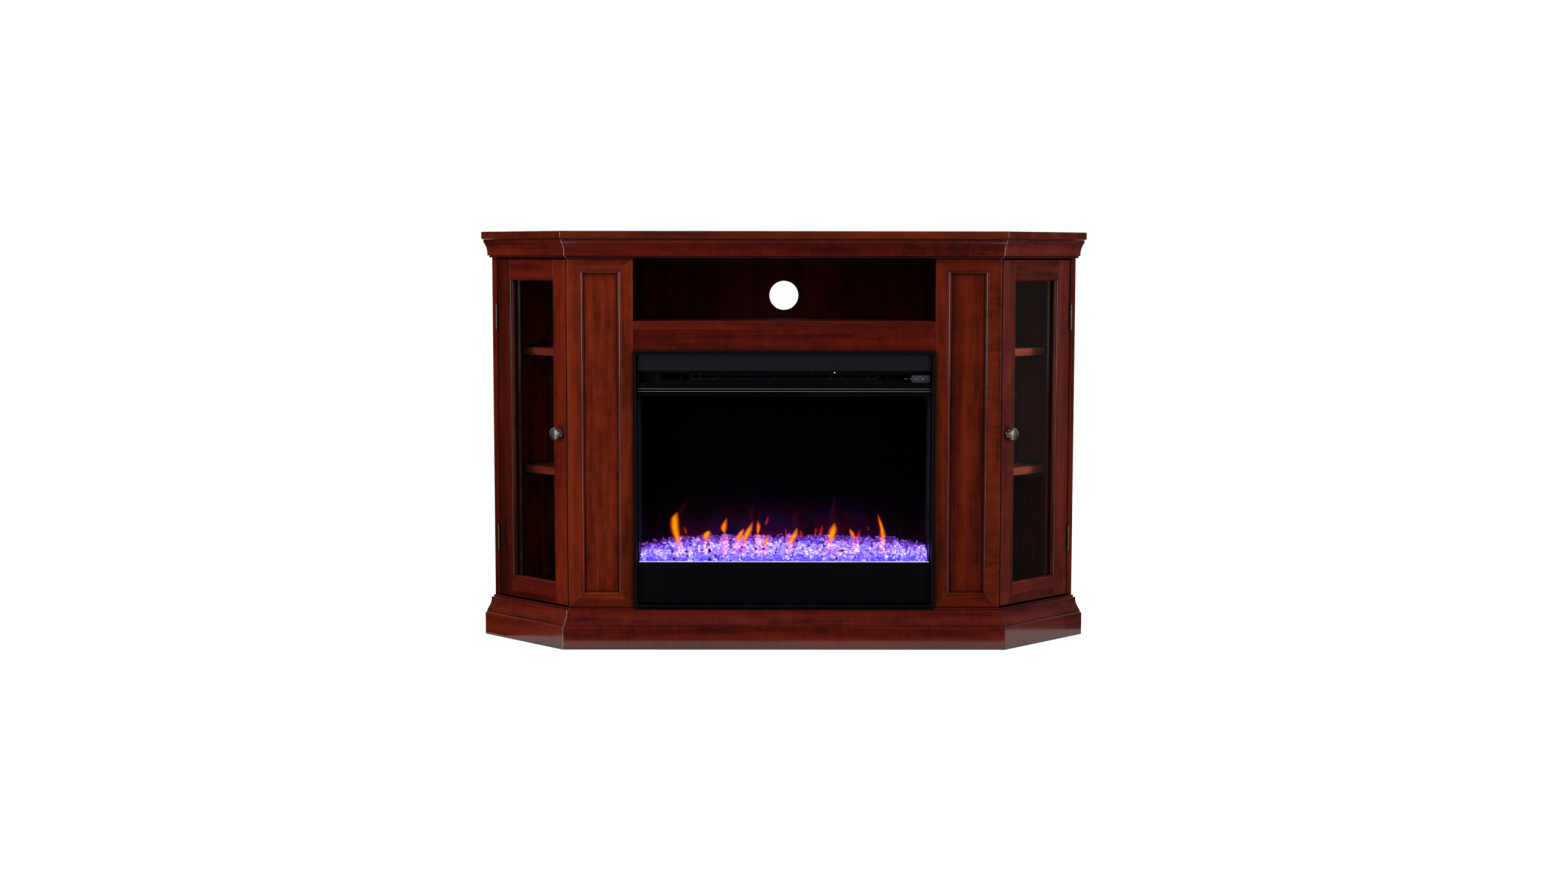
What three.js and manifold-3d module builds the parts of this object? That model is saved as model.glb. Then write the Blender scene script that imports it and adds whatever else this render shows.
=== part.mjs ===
// A corner media console with an electric fireplace: a straight front with two panelled pilasters, a media
// niche over the firebox, and a glazed cabinet on each side behind a door that stands at 45 degrees.
// Millimetres, +Z up. Inside the cabinet group X is 0 at the middle, Y is 0 at the front face of the
// pilasters and grows to the back, and Z is 0 at the floor; the group centres the whole on the origin.
import * as THREE from 'three';
import { mergeVertices } from 'three/addons/utils/BufferGeometryUtils.js';
import Module from 'manifold-3d';

// Driving dimensions -----------------------------------------------------------------------------------
const GAP = 0.3; // between two pieces that touch

// Plan
const FRONT_HALF = 423.3; // half the straight front, to the corner where the doors turn back
const WING_LENGTH = 238; // door face, from the front corner to the outer face of the side panel
const WING_ANGLE = Math.PI / 4;
const BODY_DEPTH = 254; // front of the pilasters to the back of the back panel
const TRIM_SHORT = 0.3; // top and mouldings stop this short of the side panel's outer face

// Heights
const FLOOR_BOARD_TOP = 78.7;
const TOP_UNDERSIDE = 804.15;
const CROWN_HEIGHT = 36.85;
const NICHE_HEIGHT = 123.7; // media shelf to the crown
const HEADER_HEIGHT = 40.8;

// Boards
const TOP_THICK = 15;
const TOP_OVERHANG = 27;
const TOP_EASING = 1.6;
const BOARD = 15; // side panels, uprights, floor board and cabinet shelves
const BACK_THICK = 5;

// Mouldings, [out from the case face]
const RAIL_THICK = 15; // wood behind the case face on every moulding
const PLINTH_OUT = 27;
const PLINTH_HEIGHT = 44.8;
const PLINTH_EASING = 1;
const OGEE_OUT = 23.5;
const OGEE_TOP_OUT = 11;
const OGEE_LEAN = 1.5; // above 1, the curve turns out nearer its foot
const CAP_OUT = 5;
const CAP_HEIGHT = 3.8;
const CROWN_BEAD_OUT = 7.6;
const CROWN_BEAD_HEIGHT = 4;
const COVE_BOTTOM_OUT = 12;
const COVE_TOP_OUT = 21.7;
const CROWN_FILLET_OUT = 22;
const CROWN_FILLET_HEIGHT = 6;
const COVE_STEP = 2.6; // upright edge under the cove

// Pilasters
const PILASTER_WIDTH = 127.5;
const PILASTER_THICK = 20;
const PILASTER_STILE = 24;
const PILASTER_BEAD = 6.5;
const PILASTER_PANEL_DEPTH = 8;
const PILASTER_PANEL_THICK = 6;
const PILASTER_RABBET = 7;
const JAMB_RETURN = 4; // the pilaster turns the corner by this much

// Doors
const DOOR_GAP = 1.9;
const DOOR_GAP_ENDS = 3.3; // over and under the door
const DOOR_THICK = 20;
const DOOR_STILE = 37.5;
const DOOR_STICKING = 5.5; // moulded inner edge of the door frame
const DOOR_REVEAL = 12; // door face to the glass
const DOOR_GLASS = 3;
const DOOR_GROOVE = 3.5; // how far the glass goes into the frame
const DOOR_BACK_LIP = 2.5; // the rear stop stands back this much from the moulded edge
const KNOB_RADIUS = 12.5;
const KNOB_LENGTH = 20;
const KNOB_ROSE_RADIUS = 8.2;

// Hinges
const HINGE_GAP = 2.8;
const HINGE_HEIGHT = 51;
const HINGE_INSET = 90; // door's end to the hinge's near end
const HINGE_LEAF = 0.8;
const HINGE_LEAF_DEPTH = 14;
const BARREL_RADIUS = 2.55;
const BARREL_OUT = 2.5; // barrel's axis in front of the door face
const PIN_RADIUS = 1.2;
const KNUCKLES = 5;

// Catches
const CATCH_WIDTH = 40;
const CATCH_DEPTH = 14;
const CATCH_HEIGHT = 12;
const CATCH_INSET = 12;

// Shelves
const CABINET_SHELF_SHARES = [0.3838, 0.7353]; // of the height from the floor board to the crown
const CABINET_SHELF_SETBACK = 66; // behind the door face
const CABINET_SHELF_FRONT_GAP = 5; // behind the pilaster
const SHELF_PLAY = 0.6;
const MEDIA_SHELF_THICK = 15.8;
const HEADER_THICK = 18;
const HEADER_SETBACK = 1;

// Back panel
const CABLE_HOLE_RADIUS = 30;
const CABLE_HOLE_RISE = 46.4; // over the media shelf
const BACK_WINDOW_SIDE = 40; // wood left beside the service window, from the upright's inner face
const BACK_WINDOW_RISE = 46.3; // over the floor board
const BACK_WINDOW_DROP = 26.7; // under the header's lower edge

// Firebox insert: steel surround
const INSERT_PLAY = 0.8; // between the insert and the wood round it
const SURROUND_FACE = 5;
const SKIRT_THICK = 1.1; // the surround's lower edge reaches down in front of the base moulding
const SKIRT_DROP = 2.7;
const SURROUND_PROUD = CAP_OUT + GAP + SKIRT_THICK;
const SURROUND_DEPTH = 26;
const SURROUND_EDGE = 0.8;
const REVEAL = 3.4; // dark gap inside the surround
const UPPER_PANEL_FRONT = 3;
const UPPER_PANEL_HEIGHT = 30;
const UPPER_PANEL_TOP_GAP = 2;
const UPPER_PANEL_THICK = 9;
const UPPER_PANEL_LIP_DROP = 4; // its lower edge slants back and down
const UPPER_PANEL_LIP_BACK = 5;
const OUTLET_HEIGHT = 22; // between the upper panel's lip and the lower bar
const LOWER_BAR_HEIGHT = 12;
const LOWER_BAR_FRONT = 4;
const BAR_THICK = 14;
const BAR_GAP = 4;
const GLASS_BAR_HEIGHT = 9;
const GLASS_BAR_FRONT = 5;
const SCREW_INSET = 9.5;
const SCREW_HEAD_RADIUS = 3.5;
const SCREW_RECESS_RADIUS = 4.5;
const SCREW_RECESS_DEPTH = 1.2;
const LOWER_PANEL_HEIGHT = 80.5;
const LOWER_PANEL_FRONT = 3;
const LOWER_PANEL_THICK = 10;
const LOWER_PANEL_RISE = 8.5; // over the underside of the insert
const LOWER_PANEL_EDGE = 1.2;
const FRONT_GLASS_THICK = 4;
const FRONT_GLASS_FRONT = 8;

// Firebox insert: body
const SHELL_FRONT = 21;
const SHELL_DEPTH = 215;
const SHEET = 1.5;
const SHELL_SIDE_PLAY = 7; // surround's outer edge to the shell
const SHELL_END_PLAY = 3.8;
const GRILLE_FRONT = 24;
const GRILLE_THICK = 2;
const SLOT_END = 40.6; // end of the slot to the end of the face panels
const SLOT_HEIGHT = 12;
const SLOT_RIM = 1.6;
const SLOT_RIM_PROUD = 1.5;
const CONTROL_WIDTH = 39;
const CONTROL_HEIGHT = 14;
const CONTROL_FRONT = 8;
const CONTROL_POINT = 6; // length of its pointed end
const BUTTON_RADIUS = 3.2;
const BUTTON_PROUD = 1;
const BUTTON_LENGTH = 6;
const BUTTON_TRAVEL = 0.8;
const BUTTON_PLAY = 0.35;
const BUTTON_PITCH = 14;
const BUTTON_END = 13.5; // right end of the control plate to the nearer button
const SCREEN_FRONT = 108;
const SCREEN_THICK = 2;
const SCREEN_DROP = 12.8; // its foot under the tray's top face
const TRAY_THICK = 3;
const TRAY_DROP = 6; // tray's top face under the glass's foot
const TRAY_MARGIN = 2;
const CRYSTAL_HEAP = 50;
const CRYSTAL_HEAP_END = 26;
const LED_BOARD_DROP = 22;
const LED_BOARD_THICK = 1.6;
const LED_BOARD_WIDTH = 22;
const LED_BOARD_END = 36.2; // inside of the shell to the board's end
const LED_COUNT = 12;
const LED_SIZE = 5;
const LED_HEIGHT = 1.6;

// Flame rotor behind the screen
const ROTOR_BACK = 44; // screen's front to the rotor's axis
const ROTOR_RISE = 9.2; // axis over the foot of the front glass
const ROTOR_END = 61.2; // inside of the shell to the last flap's station
const ROTOR_SHAFT = 3;
const ROTOR_FLAP_REACH = 22;
const ROTOR_FLAP_LENGTH = 24;
const ROTOR_FLAP_THICK = 0.8;
const ROTOR_STATIONS = 13;
const ROTOR_TURN = 2.4; // angle from one station to the next
const CRADLE_PLATE = 2;
const CRADLE_WIDTH = 30;
const BEARING_PLAY = 0.5;
const ROTOR_MOTOR_RADIUS = 19;
const ROTOR_MOTOR_LENGTH = 16;
const STUB = 9; // shaft beyond the last flap or blade

// Fan heater over the firebox
const FAN_Y = 108;
const FAN_RISE = 7.1; // axis over the middle of the slot
const FAN_END = 86.2; // inside of the shell to the wheel's end
const FAN_RADIUS = 24;
const FAN_HUB = 3;
const FAN_DISC = 2;
const FAN_BLADES = 14;
const FAN_BLADE_THICK = 1;
const FAN_BLADE_DEPTH = 8;
const FAN_PLAY = 3;
const FAN_MOTOR_RADIUS = 18;
const FAN_MOTOR_LENGTH = 28;
const CASING_WALL = 3;
const CASING_FRONT = 30;
const CASING_SIDE = 3;
const INTAKE_HEIGHT = 24;
const HEATER_END = 15; // wheel's end to the element's end
const HEATER_FRONT = 42;
const HEATER_DEPTH = 14;
const HEATER_FINS = 20;
const HEATER_PLAY = 1;

// Cord gland
const GLAND_SIDE = 83; // from the shell's side
const GLAND_RISE = 66.7; // over the shell's underside
const GLAND_FLANGE = 12;
const GLAND_FLANGE_THICK = 2;
const GLAND_RADIUS = 8;
const GLAND_LENGTH = 14;
const GLAND_BORE = 3.8;

// Worked out from them -----------------------------------------------------------------------------------
const COS = Math.cos(WING_ANGLE);
const SIN = Math.sin(WING_ANGLE);
const MITRE = Math.tan(WING_ANGLE / 2);
const PILASTER_INNER = FRONT_HALF - PILASTER_WIDTH; // half the opening between the pilasters
const BACK_FACE = BODY_DEPTH - BACK_THICK; // front face of the back panel
const PLAY_BACK = BACK_FACE - GAP;
const CROWN_BOTTOM = TOP_UNDERSIDE - CROWN_HEIGHT;
const MEDIA_SHELF_TOP = CROWN_BOTTOM - NICHE_HEIGHT;
const HEADER_TOP = MEDIA_SHELF_TOP - MEDIA_SHELF_THICK - GAP;
const HEADER_BOTTOM = HEADER_TOP - HEADER_HEIGHT;
const FLOOR_BOARD_UNDER = FLOOR_BOARD_TOP - BOARD;
const CASE_BOTTOM = FLOOR_BOARD_TOP + GAP;
const CASE_TOP = CROWN_BOTTOM - GAP;
const BOARD_TOP = TOP_UNDERSIDE - GAP;

const DOOR_START = JAMB_RETURN + DOOR_GAP;
const DOOR_END = WING_LENGTH - BOARD - HINGE_GAP;
const DOOR_WIDTH = DOOR_END - DOOR_START;
const DOOR_BOTTOM = FLOOR_BOARD_TOP + DOOR_GAP_ENDS;
const DOOR_TOP = CROWN_BOTTOM - DOOR_GAP_ENDS;
const DOOR_HEIGHT = DOOR_TOP - DOOR_BOTTOM;
const HINGE_U = DOOR_END + HINGE_GAP / 2;

const INSERT_HALF = PILASTER_INNER - INSERT_PLAY;
const INSERT_BOTTOM = FLOOR_BOARD_TOP + INSERT_PLAY;
const INSERT_TOP = HEADER_BOTTOM - INSERT_PLAY;
const FACE_HALF = INSERT_HALF - SURROUND_FACE - REVEAL; // panels, bars and glass of the insert
const UPPER_PANEL_TOP = INSERT_TOP - SURROUND_FACE - UPPER_PANEL_TOP_GAP;
const UPPER_PANEL_BOTTOM = UPPER_PANEL_TOP - UPPER_PANEL_HEIGHT;
const OUTLET_TOP = UPPER_PANEL_BOTTOM - UPPER_PANEL_LIP_DROP;
const LOWER_BAR_TOP = OUTLET_TOP - OUTLET_HEIGHT;
const LOWER_BAR_BOTTOM = LOWER_BAR_TOP - LOWER_BAR_HEIGHT;
const GLASS_BAR_TOP = LOWER_BAR_BOTTOM - BAR_GAP;
const GLASS_BAR_BOTTOM = GLASS_BAR_TOP - GLASS_BAR_HEIGHT;
const LOWER_PANEL_BOTTOM = INSERT_BOTTOM + LOWER_PANEL_RISE;
const LOWER_PANEL_TOP = LOWER_PANEL_BOTTOM + LOWER_PANEL_HEIGHT;
const GLASS_FOOT = LOWER_PANEL_TOP + GAP;
const GLASS_HEAD = GLASS_BAR_BOTTOM - GAP;

const SHELL_HALF = INSERT_HALF - SHELL_SIDE_PLAY;
const SHELL_BOTTOM = INSERT_BOTTOM + SHELL_END_PLAY;
const SHELL_TOP = INSERT_TOP - SHELL_END_PLAY;
const SHELL_BACK = SHELL_FRONT + SHELL_DEPTH;
const INSIDE_HALF = SHELL_HALF - SHEET - GAP;
const SLOT_MIDDLE = LOWER_BAR_TOP + OUTLET_HEIGHT / 2;
const SLOT_HALF = FACE_HALF - SLOT_END;
const LED_BOARD_HALF = INSIDE_HALF - LED_BOARD_END;
const ROTOR_HALF = INSIDE_HALF - ROTOR_END;
const ROTOR_Y = SCREEN_FRONT + ROTOR_BACK;
const ROTOR_Z = GLASS_FOOT + ROTOR_RISE;
const FAN_HALF = INSIDE_HALF - FAN_END;
const FAN_Z = SLOT_MIDDLE + FAN_RISE;
const HEATER_HALF = FAN_HALF - HEATER_END;
const TRAY_TOP = GLASS_FOOT - TRAY_DROP;
const TRAY_FRONT = FRONT_GLASS_FRONT + FRONT_GLASS_THICK + TRAY_MARGIN;
const TRAY_BACK = SCREEN_FRONT - TRAY_MARGIN;
const FAN_BORE = FAN_RADIUS + FAN_PLAY;
const CASING_BOTTOM = FAN_Z - FAN_BORE - CASING_WALL;
const CASING_TOP = SHELL_TOP - SHEET - GAP;
const CASING_BACK = FAN_Y + FAN_BORE + CASING_WALL;
const CASING_HALF = FAN_HALF + FAN_PLAY;
const CENTRE_Y = (BODY_DEPTH - TOP_OVERHANG) / 2;

// Materials ------------------------------------------------------------------------------------------------
const finish = (color, roughness, metalness = 0) => () =>
  new THREE.MeshStandardMaterial({ color, roughness, metalness });
const cherry = finish(0x7a2f16, 0.38);
const cherryInside = finish(0x451a10, 0.5);
const clearGlass = finish(0x9fb0ad, 0.05);
const nickel = finish(0xb9ad98, 0.3, 1);
const brass = finish(0x9a8355, 0.35, 1);
const blackSteel = finish(0x15161a, 0.6, 0.6);
const blackTrim = finish(0x2a2c33, 0.4, 0.7);
const greyPlastic = finish(0x8c8590, 0.45);
const blackPlastic = finish(0x17171b, 0.5);
const crystal = finish(0xc7a6ff, 0.05);
const smokedAcrylic = finish(0x120c1e, 0.2);
const circuitBoard = finish(0xe7e7e2, 0.5);
const mirrorFoil = finish(0xd8d8dc, 0.15, 1);
const heaterMetal = finish(0x8d8f93, 0.45, 0.9);

// Geometry helpers -----------------------------------------------------------------------------------------
const wasm = await Module();
wasm.setup();

/** A closed geometry as a solid that can be cut and joined. */
function solidOf(geometry) {
  const bare = geometry.clone();
  bare.deleteAttribute('normal');
  bare.deleteAttribute('uv');
  const merged = mergeVertices(bare, 1e-4);
  return new wasm.Manifold(new wasm.Mesh({
    numProp: 3,
    vertProperties: Float32Array.from(merged.attributes.position.array),
    triVerts: Uint32Array.from(merged.index.array),
  }));
}

function geometryOf(solid) {
  const { vertProperties, triVerts } = solid.getMesh();
  const geometry = new THREE.BufferGeometry();
  geometry.setAttribute('position', new THREE.BufferAttribute(vertProperties, 3));
  geometry.setIndex(new THREE.BufferAttribute(triVerts, 1));
  return geometry;
}

function joined(first, ...others) {
  return geometryOf(others.reduce((whole, other) => whole.add(solidOf(other)), solidOf(first)));
}

function cutBy(first, ...tools) {
  return geometryOf(tools.reduce((whole, tool) => whole.subtract(solidOf(tool)), solidOf(first)));
}

/** The same shape for the left side: mirrored in X, faces still pointing out. */
function mirrored(geometry) {
  const copy = geometry.index ? geometry.toNonIndexed() : geometry.clone();
  const place = copy.attributes.position;
  const corner = [new THREE.Vector3(), new THREE.Vector3()];
  copy.scale(-1, 1, 1);
  for (let i = 0; i < place.count; i += 3) {
    corner.forEach((point, k) => point.fromBufferAttribute(place, i + 1 + k));
    place.setXYZ(i + 1, ...corner[1]);
    place.setXYZ(i + 2, ...corner[0]);
  }
  return copy;
}

const handed = (geometry, side) => (side < 0 ? mirrored(geometry) : geometry);

/** A block between two corners. */
function block([x0, x1], [y0, y1], [z0, z1]) {
  return new THREE.BoxGeometry(x1 - x0, y1 - y0, z1 - z0)
    .translate((x0 + x1) / 2, (y0 + y1) / 2, (z0 + z1) / 2);
}

const outlineOf = (points) => new THREE.Shape(points.map(([x, y]) => new THREE.Vector2(x, y)));

/** A plan outline raised from z0 to z1. */
function upright(points, z0, z1) {
  return new THREE.ExtrudeGeometry(outlineOf(points), { depth: z1 - z0, bevelEnabled: false })
    .translate(0, 0, z0);
}

/** A front outline, in X and Z, that goes back from y0 to y1. */
function platter(shape, y0, y1, curveSegments = 6) {
  return new THREE.ExtrudeGeometry(shape, { depth: y1 - y0, bevelEnabled: false, curveSegments })
    .rotateX(Math.PI / 2)
    .translate(0, y1, 0);
}

/** A side outline, in Y and Z, that runs along X from x0 to x1. */
function bar(points, x0, x1) {
  return mouldingRun(points.map(([y, z]) => [-y, z]), () => x0, () => x1);
}

/** A cylinder along 'x', 'y' or 'z', from one end's place to the other's. */
function rod(axis, radius, from, to, [a, b], sides = 16) {
  const geometry = new THREE.CylinderGeometry(radius, radius, to - from, sides);
  const middle = (from + to) / 2;
  if (axis === 'x') return geometry.rotateZ(Math.PI / 2).translate(middle, a, b);
  if (axis === 'y') return geometry.translate(a, middle, b);
  return geometry.rotateX(Math.PI / 2).translate(a, b, middle);
}

/** A run of one section of [out, z] points, out being towards -Y; its ends are where start and end say. */
function mouldingRun(section, start, end) {
  const outline = section.map(([out, z]) => new THREE.Vector2(-out, z));
  if (THREE.ShapeUtils.isClockWise(outline)) outline.reverse();
  const near = outline.map((point) => new THREE.Vector3(start(-point.x), point.x, point.y));
  const far = outline.map((point) => new THREE.Vector3(end(-point.x), point.x, point.y));
  const corners = [];
  for (const [i, j, k] of THREE.ShapeUtils.triangulateShape(outline, [])) {
    corners.push(far[i], far[j], far[k], near[k], near[j], near[i]);
  }
  outline.forEach((_, i) => {
    const j = (i + 1) % outline.length;
    corners.push(near[i], near[j], far[j], near[i], far[j], far[i]);
  });
  return new THREE.BufferGeometry().setFromPoints(corners);
}

/** A rectangular frame of one section of [inset, depth] points, mitred at its four corners. */
function mitredFrame(width, height, section) {
  const outline = section.map(([inset, depth]) => new THREE.Vector2(depth, inset));
  if (THREE.ShapeUtils.isClockWise(outline)) outline.reverse();
  const rings = [[0, 0], [1, 0], [1, 1], [0, 1]].map(([right, up]) => outline.map((point) =>
    new THREE.Vector3(
      right * width + (right ? -1 : 1) * point.y,
      point.x,
      up * height + (up ? -1 : 1) * point.y,
    )));
  const corners = [];
  rings.forEach((near, n) => {
    const far = rings[(n + 1) % rings.length];
    near.forEach((_, i) => {
      const j = (i + 1) % near.length;
      corners.push(near[i], near[j], far[j], near[i], far[j], far[i]);
    });
  });
  return new THREE.BufferGeometry().setFromPoints(corners);
}

/** The curve's points as [first, second] pairs, from t = 0 to t = 1. */
function sweep(steps, at) {
  return Array.from({ length: steps + 1 }, (_, i) => at(i / steps));
}

/** Right half of the plan of the case, moved out by 'out', its end cut at 'length' along the door face. */
function halfPlan(out, length, rear) {
  const end = [FRONT_HALF + length * COS + out * SIN, length * SIN - out * COS];
  return [
    [FRONT_HALF + out * MITRE, -out],
    end,
    [end[0] - (rear - end[1]) * (SIN / COS), rear],
  ];
}

function wholePlan(out, length, rear) {
  const half = halfPlan(out, length, rear);
  return [...half, ...half.map(([x, y]) => [-x, y]).reverse()];
}

/** A point given along the right door face and in from it, as a point of the plan. */
const fromWing = (along, inwards) => [
  FRONT_HALF + along * COS - inwards * SIN,
  along * SIN + inwards * COS,
];

/** How far in from the door face a plane of constant Y is met, at a place along the door. */
const wingDepthAt = (along, y) => (y - along * SIN) / COS;

// Assembly -------------------------------------------------------------------------------------------------
const console3d = new THREE.Group();
const cabinet = new THREE.Group();
cabinet.position.y = -CENTRE_Y;
console3d.add(cabinet);

const SIDES = [
  { name: 'left', hand: -1 },
  { name: 'right', hand: 1 },
];

/** Adds one named piece to a group. */
function piece(group, name, geometry, material) {
  const mesh = new THREE.Mesh(geometry, material());
  mesh.name = name;
  group.add(mesh);
  return mesh;
}

/** The group of one wing: X along the door face from the front corner, Y into the cabinet. */
function wingGroup(hand) {
  const group = new THREE.Group();
  group.position.x = hand * FRONT_HALF;
  group.rotation.z = hand * WING_ANGLE;
  cabinet.add(group);
  return group;
}

const WINGS = SIDES.map((side) => ({ ...side, group: wingGroup(side.hand) }));

// Sections ---------------------------------------------------------------------------------------------------
function baseSection() {
  const capBottom = FLOOR_BOARD_TOP - CAP_HEIGHT;
  const ogee = sweep(8, (t) => [
    OGEE_TOP_OUT + (OGEE_OUT - OGEE_TOP_OUT) * (0.5 - 0.5 * Math.cos(Math.PI * (1 - t) ** OGEE_LEAN)),
    PLINTH_HEIGHT + (capBottom - PLINTH_HEIGHT) * t,
  ]);
  return [
    [-RAIL_THICK, 0],
    [PLINTH_OUT, 0],
    [PLINTH_OUT, PLINTH_HEIGHT - PLINTH_EASING],
    [PLINTH_OUT - PLINTH_EASING, PLINTH_HEIGHT],
    ...ogee,
    [CAP_OUT, capBottom],
    [CAP_OUT, FLOOR_BOARD_TOP],
    [0, FLOOR_BOARD_TOP],
    [0, FLOOR_BOARD_UNDER - GAP],
    [-RAIL_THICK, FLOOR_BOARD_UNDER - GAP],
  ];
}

function crownSection() {
  const beadTop = CROWN_BOTTOM + CROWN_BEAD_HEIGHT;
  const coveBottom = beadTop + COVE_STEP;
  const coveTop = BOARD_TOP - CROWN_FILLET_HEIGHT;
  const beadRadius = CROWN_BEAD_HEIGHT / 2;
  const bead = sweep(4, (t) => [
    CROWN_BEAD_OUT - beadRadius + beadRadius * Math.sin(Math.PI * t),
    CROWN_BOTTOM + beadRadius - beadRadius * Math.cos(Math.PI * t),
  ]);
  const coveTurn = 2 * Math.atan((COVE_TOP_OUT - COVE_BOTTOM_OUT) / (coveTop - coveBottom));
  const coveRadius = (coveTop - coveBottom) / Math.sin(coveTurn);
  const cove = sweep(8, (t) => [
    COVE_BOTTOM_OUT + coveRadius * (1 - Math.cos(coveTurn * t)),
    coveBottom + coveRadius * Math.sin(coveTurn * t),
  ]);
  return [
    [-RAIL_THICK, CROWN_BOTTOM],
    ...bead,
    [COVE_BOTTOM_OUT, beadTop],
    ...cove,
    [CROWN_FILLET_OUT, coveTop],
    [CROWN_FILLET_OUT, BOARD_TOP],
    [-RAIL_THICK, BOARD_TOP],
  ];
}

/** A moulding round the front and both wings, mitred at the front corners. */
function mouldingRuns(name, section) {
  const corner = (out) => FRONT_HALF + out * MITRE - GAP / 2;
  piece(cabinet, `${name}_front`, mouldingRun(section, (out) => -corner(out), corner), cherry);
  for (const { name: side, hand, group } of WINGS) {
    const run = mouldingRun(section, (out) => GAP / 2 - out * MITRE, () => WING_LENGTH - TRIM_SHORT);
    piece(group, `${name}_${side}`, handed(run, hand), cherry);
  }
}

// Case -------------------------------------------------------------------------------------------------------
function top() {
  const outline = outlineOf(wholePlan(TOP_OVERHANG, WING_LENGTH - TRIM_SHORT, BODY_DEPTH));
  const board = new THREE.ExtrudeGeometry(outline, {
    depth: TOP_THICK - 2 * TOP_EASING,
    bevelEnabled: true,
    bevelThickness: TOP_EASING,
    bevelSize: TOP_EASING,
    bevelOffset: -TOP_EASING,
    bevelSegments: 2,
  });
  piece(cabinet, 'top_board', board.translate(0, 0, TOP_UNDERSIDE + TOP_EASING), cherry);
}

function floorBoard() {
  const plan = wholePlan(-GAP, WING_LENGTH - BOARD - GAP, PLAY_BACK);
  piece(cabinet, 'floor_board', upright(plan, FLOOR_BOARD_UNDER, FLOOR_BOARD_TOP), cherryInside);
}

function backPanel() {
  const half = halfPlan(0, WING_LENGTH, BODY_DEPTH)[2][0];
  const windowHalf = PILASTER_INNER - BACK_WINDOW_SIDE;
  const outline = outlineOf([[-half, 0], [half, 0], [half, BOARD_TOP], [-half, BOARD_TOP]]);
  const cableHole = new THREE.Path()
    .absarc(0, MEDIA_SHELF_TOP + CABLE_HOLE_RISE, CABLE_HOLE_RADIUS, 0, 2 * Math.PI);
  const windowBottom = FLOOR_BOARD_TOP + BACK_WINDOW_RISE;
  const windowTop = HEADER_BOTTOM - BACK_WINDOW_DROP;
  const serviceWindow = new THREE.Path([
    [-windowHalf, windowBottom],
    [windowHalf, windowBottom],
    [windowHalf, windowTop],
    [-windowHalf, windowTop],
  ].map(([x, z]) => new THREE.Vector2(x, z)));
  outline.holes.push(cableHole, serviceWindow);
  piece(cabinet, 'back_panel', platter(outline, BACK_FACE, BODY_DEPTH, 16), cherryInside);
}

/** The side panel stands on the floor, behind the mouldings, and its front edge shows beside the door. */
function sidePanel({ name, hand, group }) {
  const inner = WING_LENGTH - BOARD;
  const front = RAIL_THICK + GAP;
  const plan = (depth) => [
    [inner, depth],
    [WING_LENGTH, depth],
    [WING_LENGTH, wingDepthAt(WING_LENGTH, PLAY_BACK)],
    [inner, wingDepthAt(inner, PLAY_BACK)],
  ];
  const panel = joined(upright(plan(front), 0, BOARD_TOP), upright(plan(0), FLOOR_BOARD_UNDER, CASE_TOP));
  piece(group, `side_panel_${name}`, handed(panel, hand), cherry);
}

function innerUpright({ name, hand }) {
  const board = block(
    [PILASTER_INNER, PILASTER_INNER + BOARD],
    [PILASTER_THICK + GAP, PLAY_BACK],
    [CASE_BOTTOM, BOARD_TOP],
  );
  piece(cabinet, `upright_${name}`, handed(board, hand), cherryInside);
}

function mediaNiche() {
  const half = PILASTER_INNER - GAP;
  const shelf = block([-half, half], [0, PLAY_BACK], [HEADER_TOP + GAP, MEDIA_SHELF_TOP]);
  piece(cabinet, 'media_shelf', shelf, cherry);
  const header = block(
    [-half, half],
    [HEADER_SETBACK, HEADER_SETBACK + HEADER_THICK],
    [HEADER_BOTTOM, HEADER_TOP],
  );
  piece(cabinet, 'header_rail', header, cherry);
}

// Pilasters ----------------------------------------------------------------------------------------------------
/** Plain stile, small quirk, and a bead that falls to the panel; a rabbet behind holds the panel. */
function pilasterSection() {
  const beadBack = PILASTER_PANEL_DEPTH - GAP;
  const bead = sweep(6, (t) => [
    PILASTER_STILE + 1 + (PILASTER_BEAD - 1) * Math.sin(Math.PI / 2 * t),
    beadBack - (beadBack - 0.5) * Math.cos(Math.PI / 2 * t),
  ]);
  return [
    [0, 0],
    [PILASTER_STILE, 0],
    [PILASTER_STILE, 1.4],
    [PILASTER_STILE + 0.6, 1.4],
    ...bead,
    [PILASTER_STILE - PILASTER_RABBET, beadBack],
    [PILASTER_STILE - PILASTER_RABBET, PILASTER_THICK],
    [0, PILASTER_THICK],
  ];
}

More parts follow.
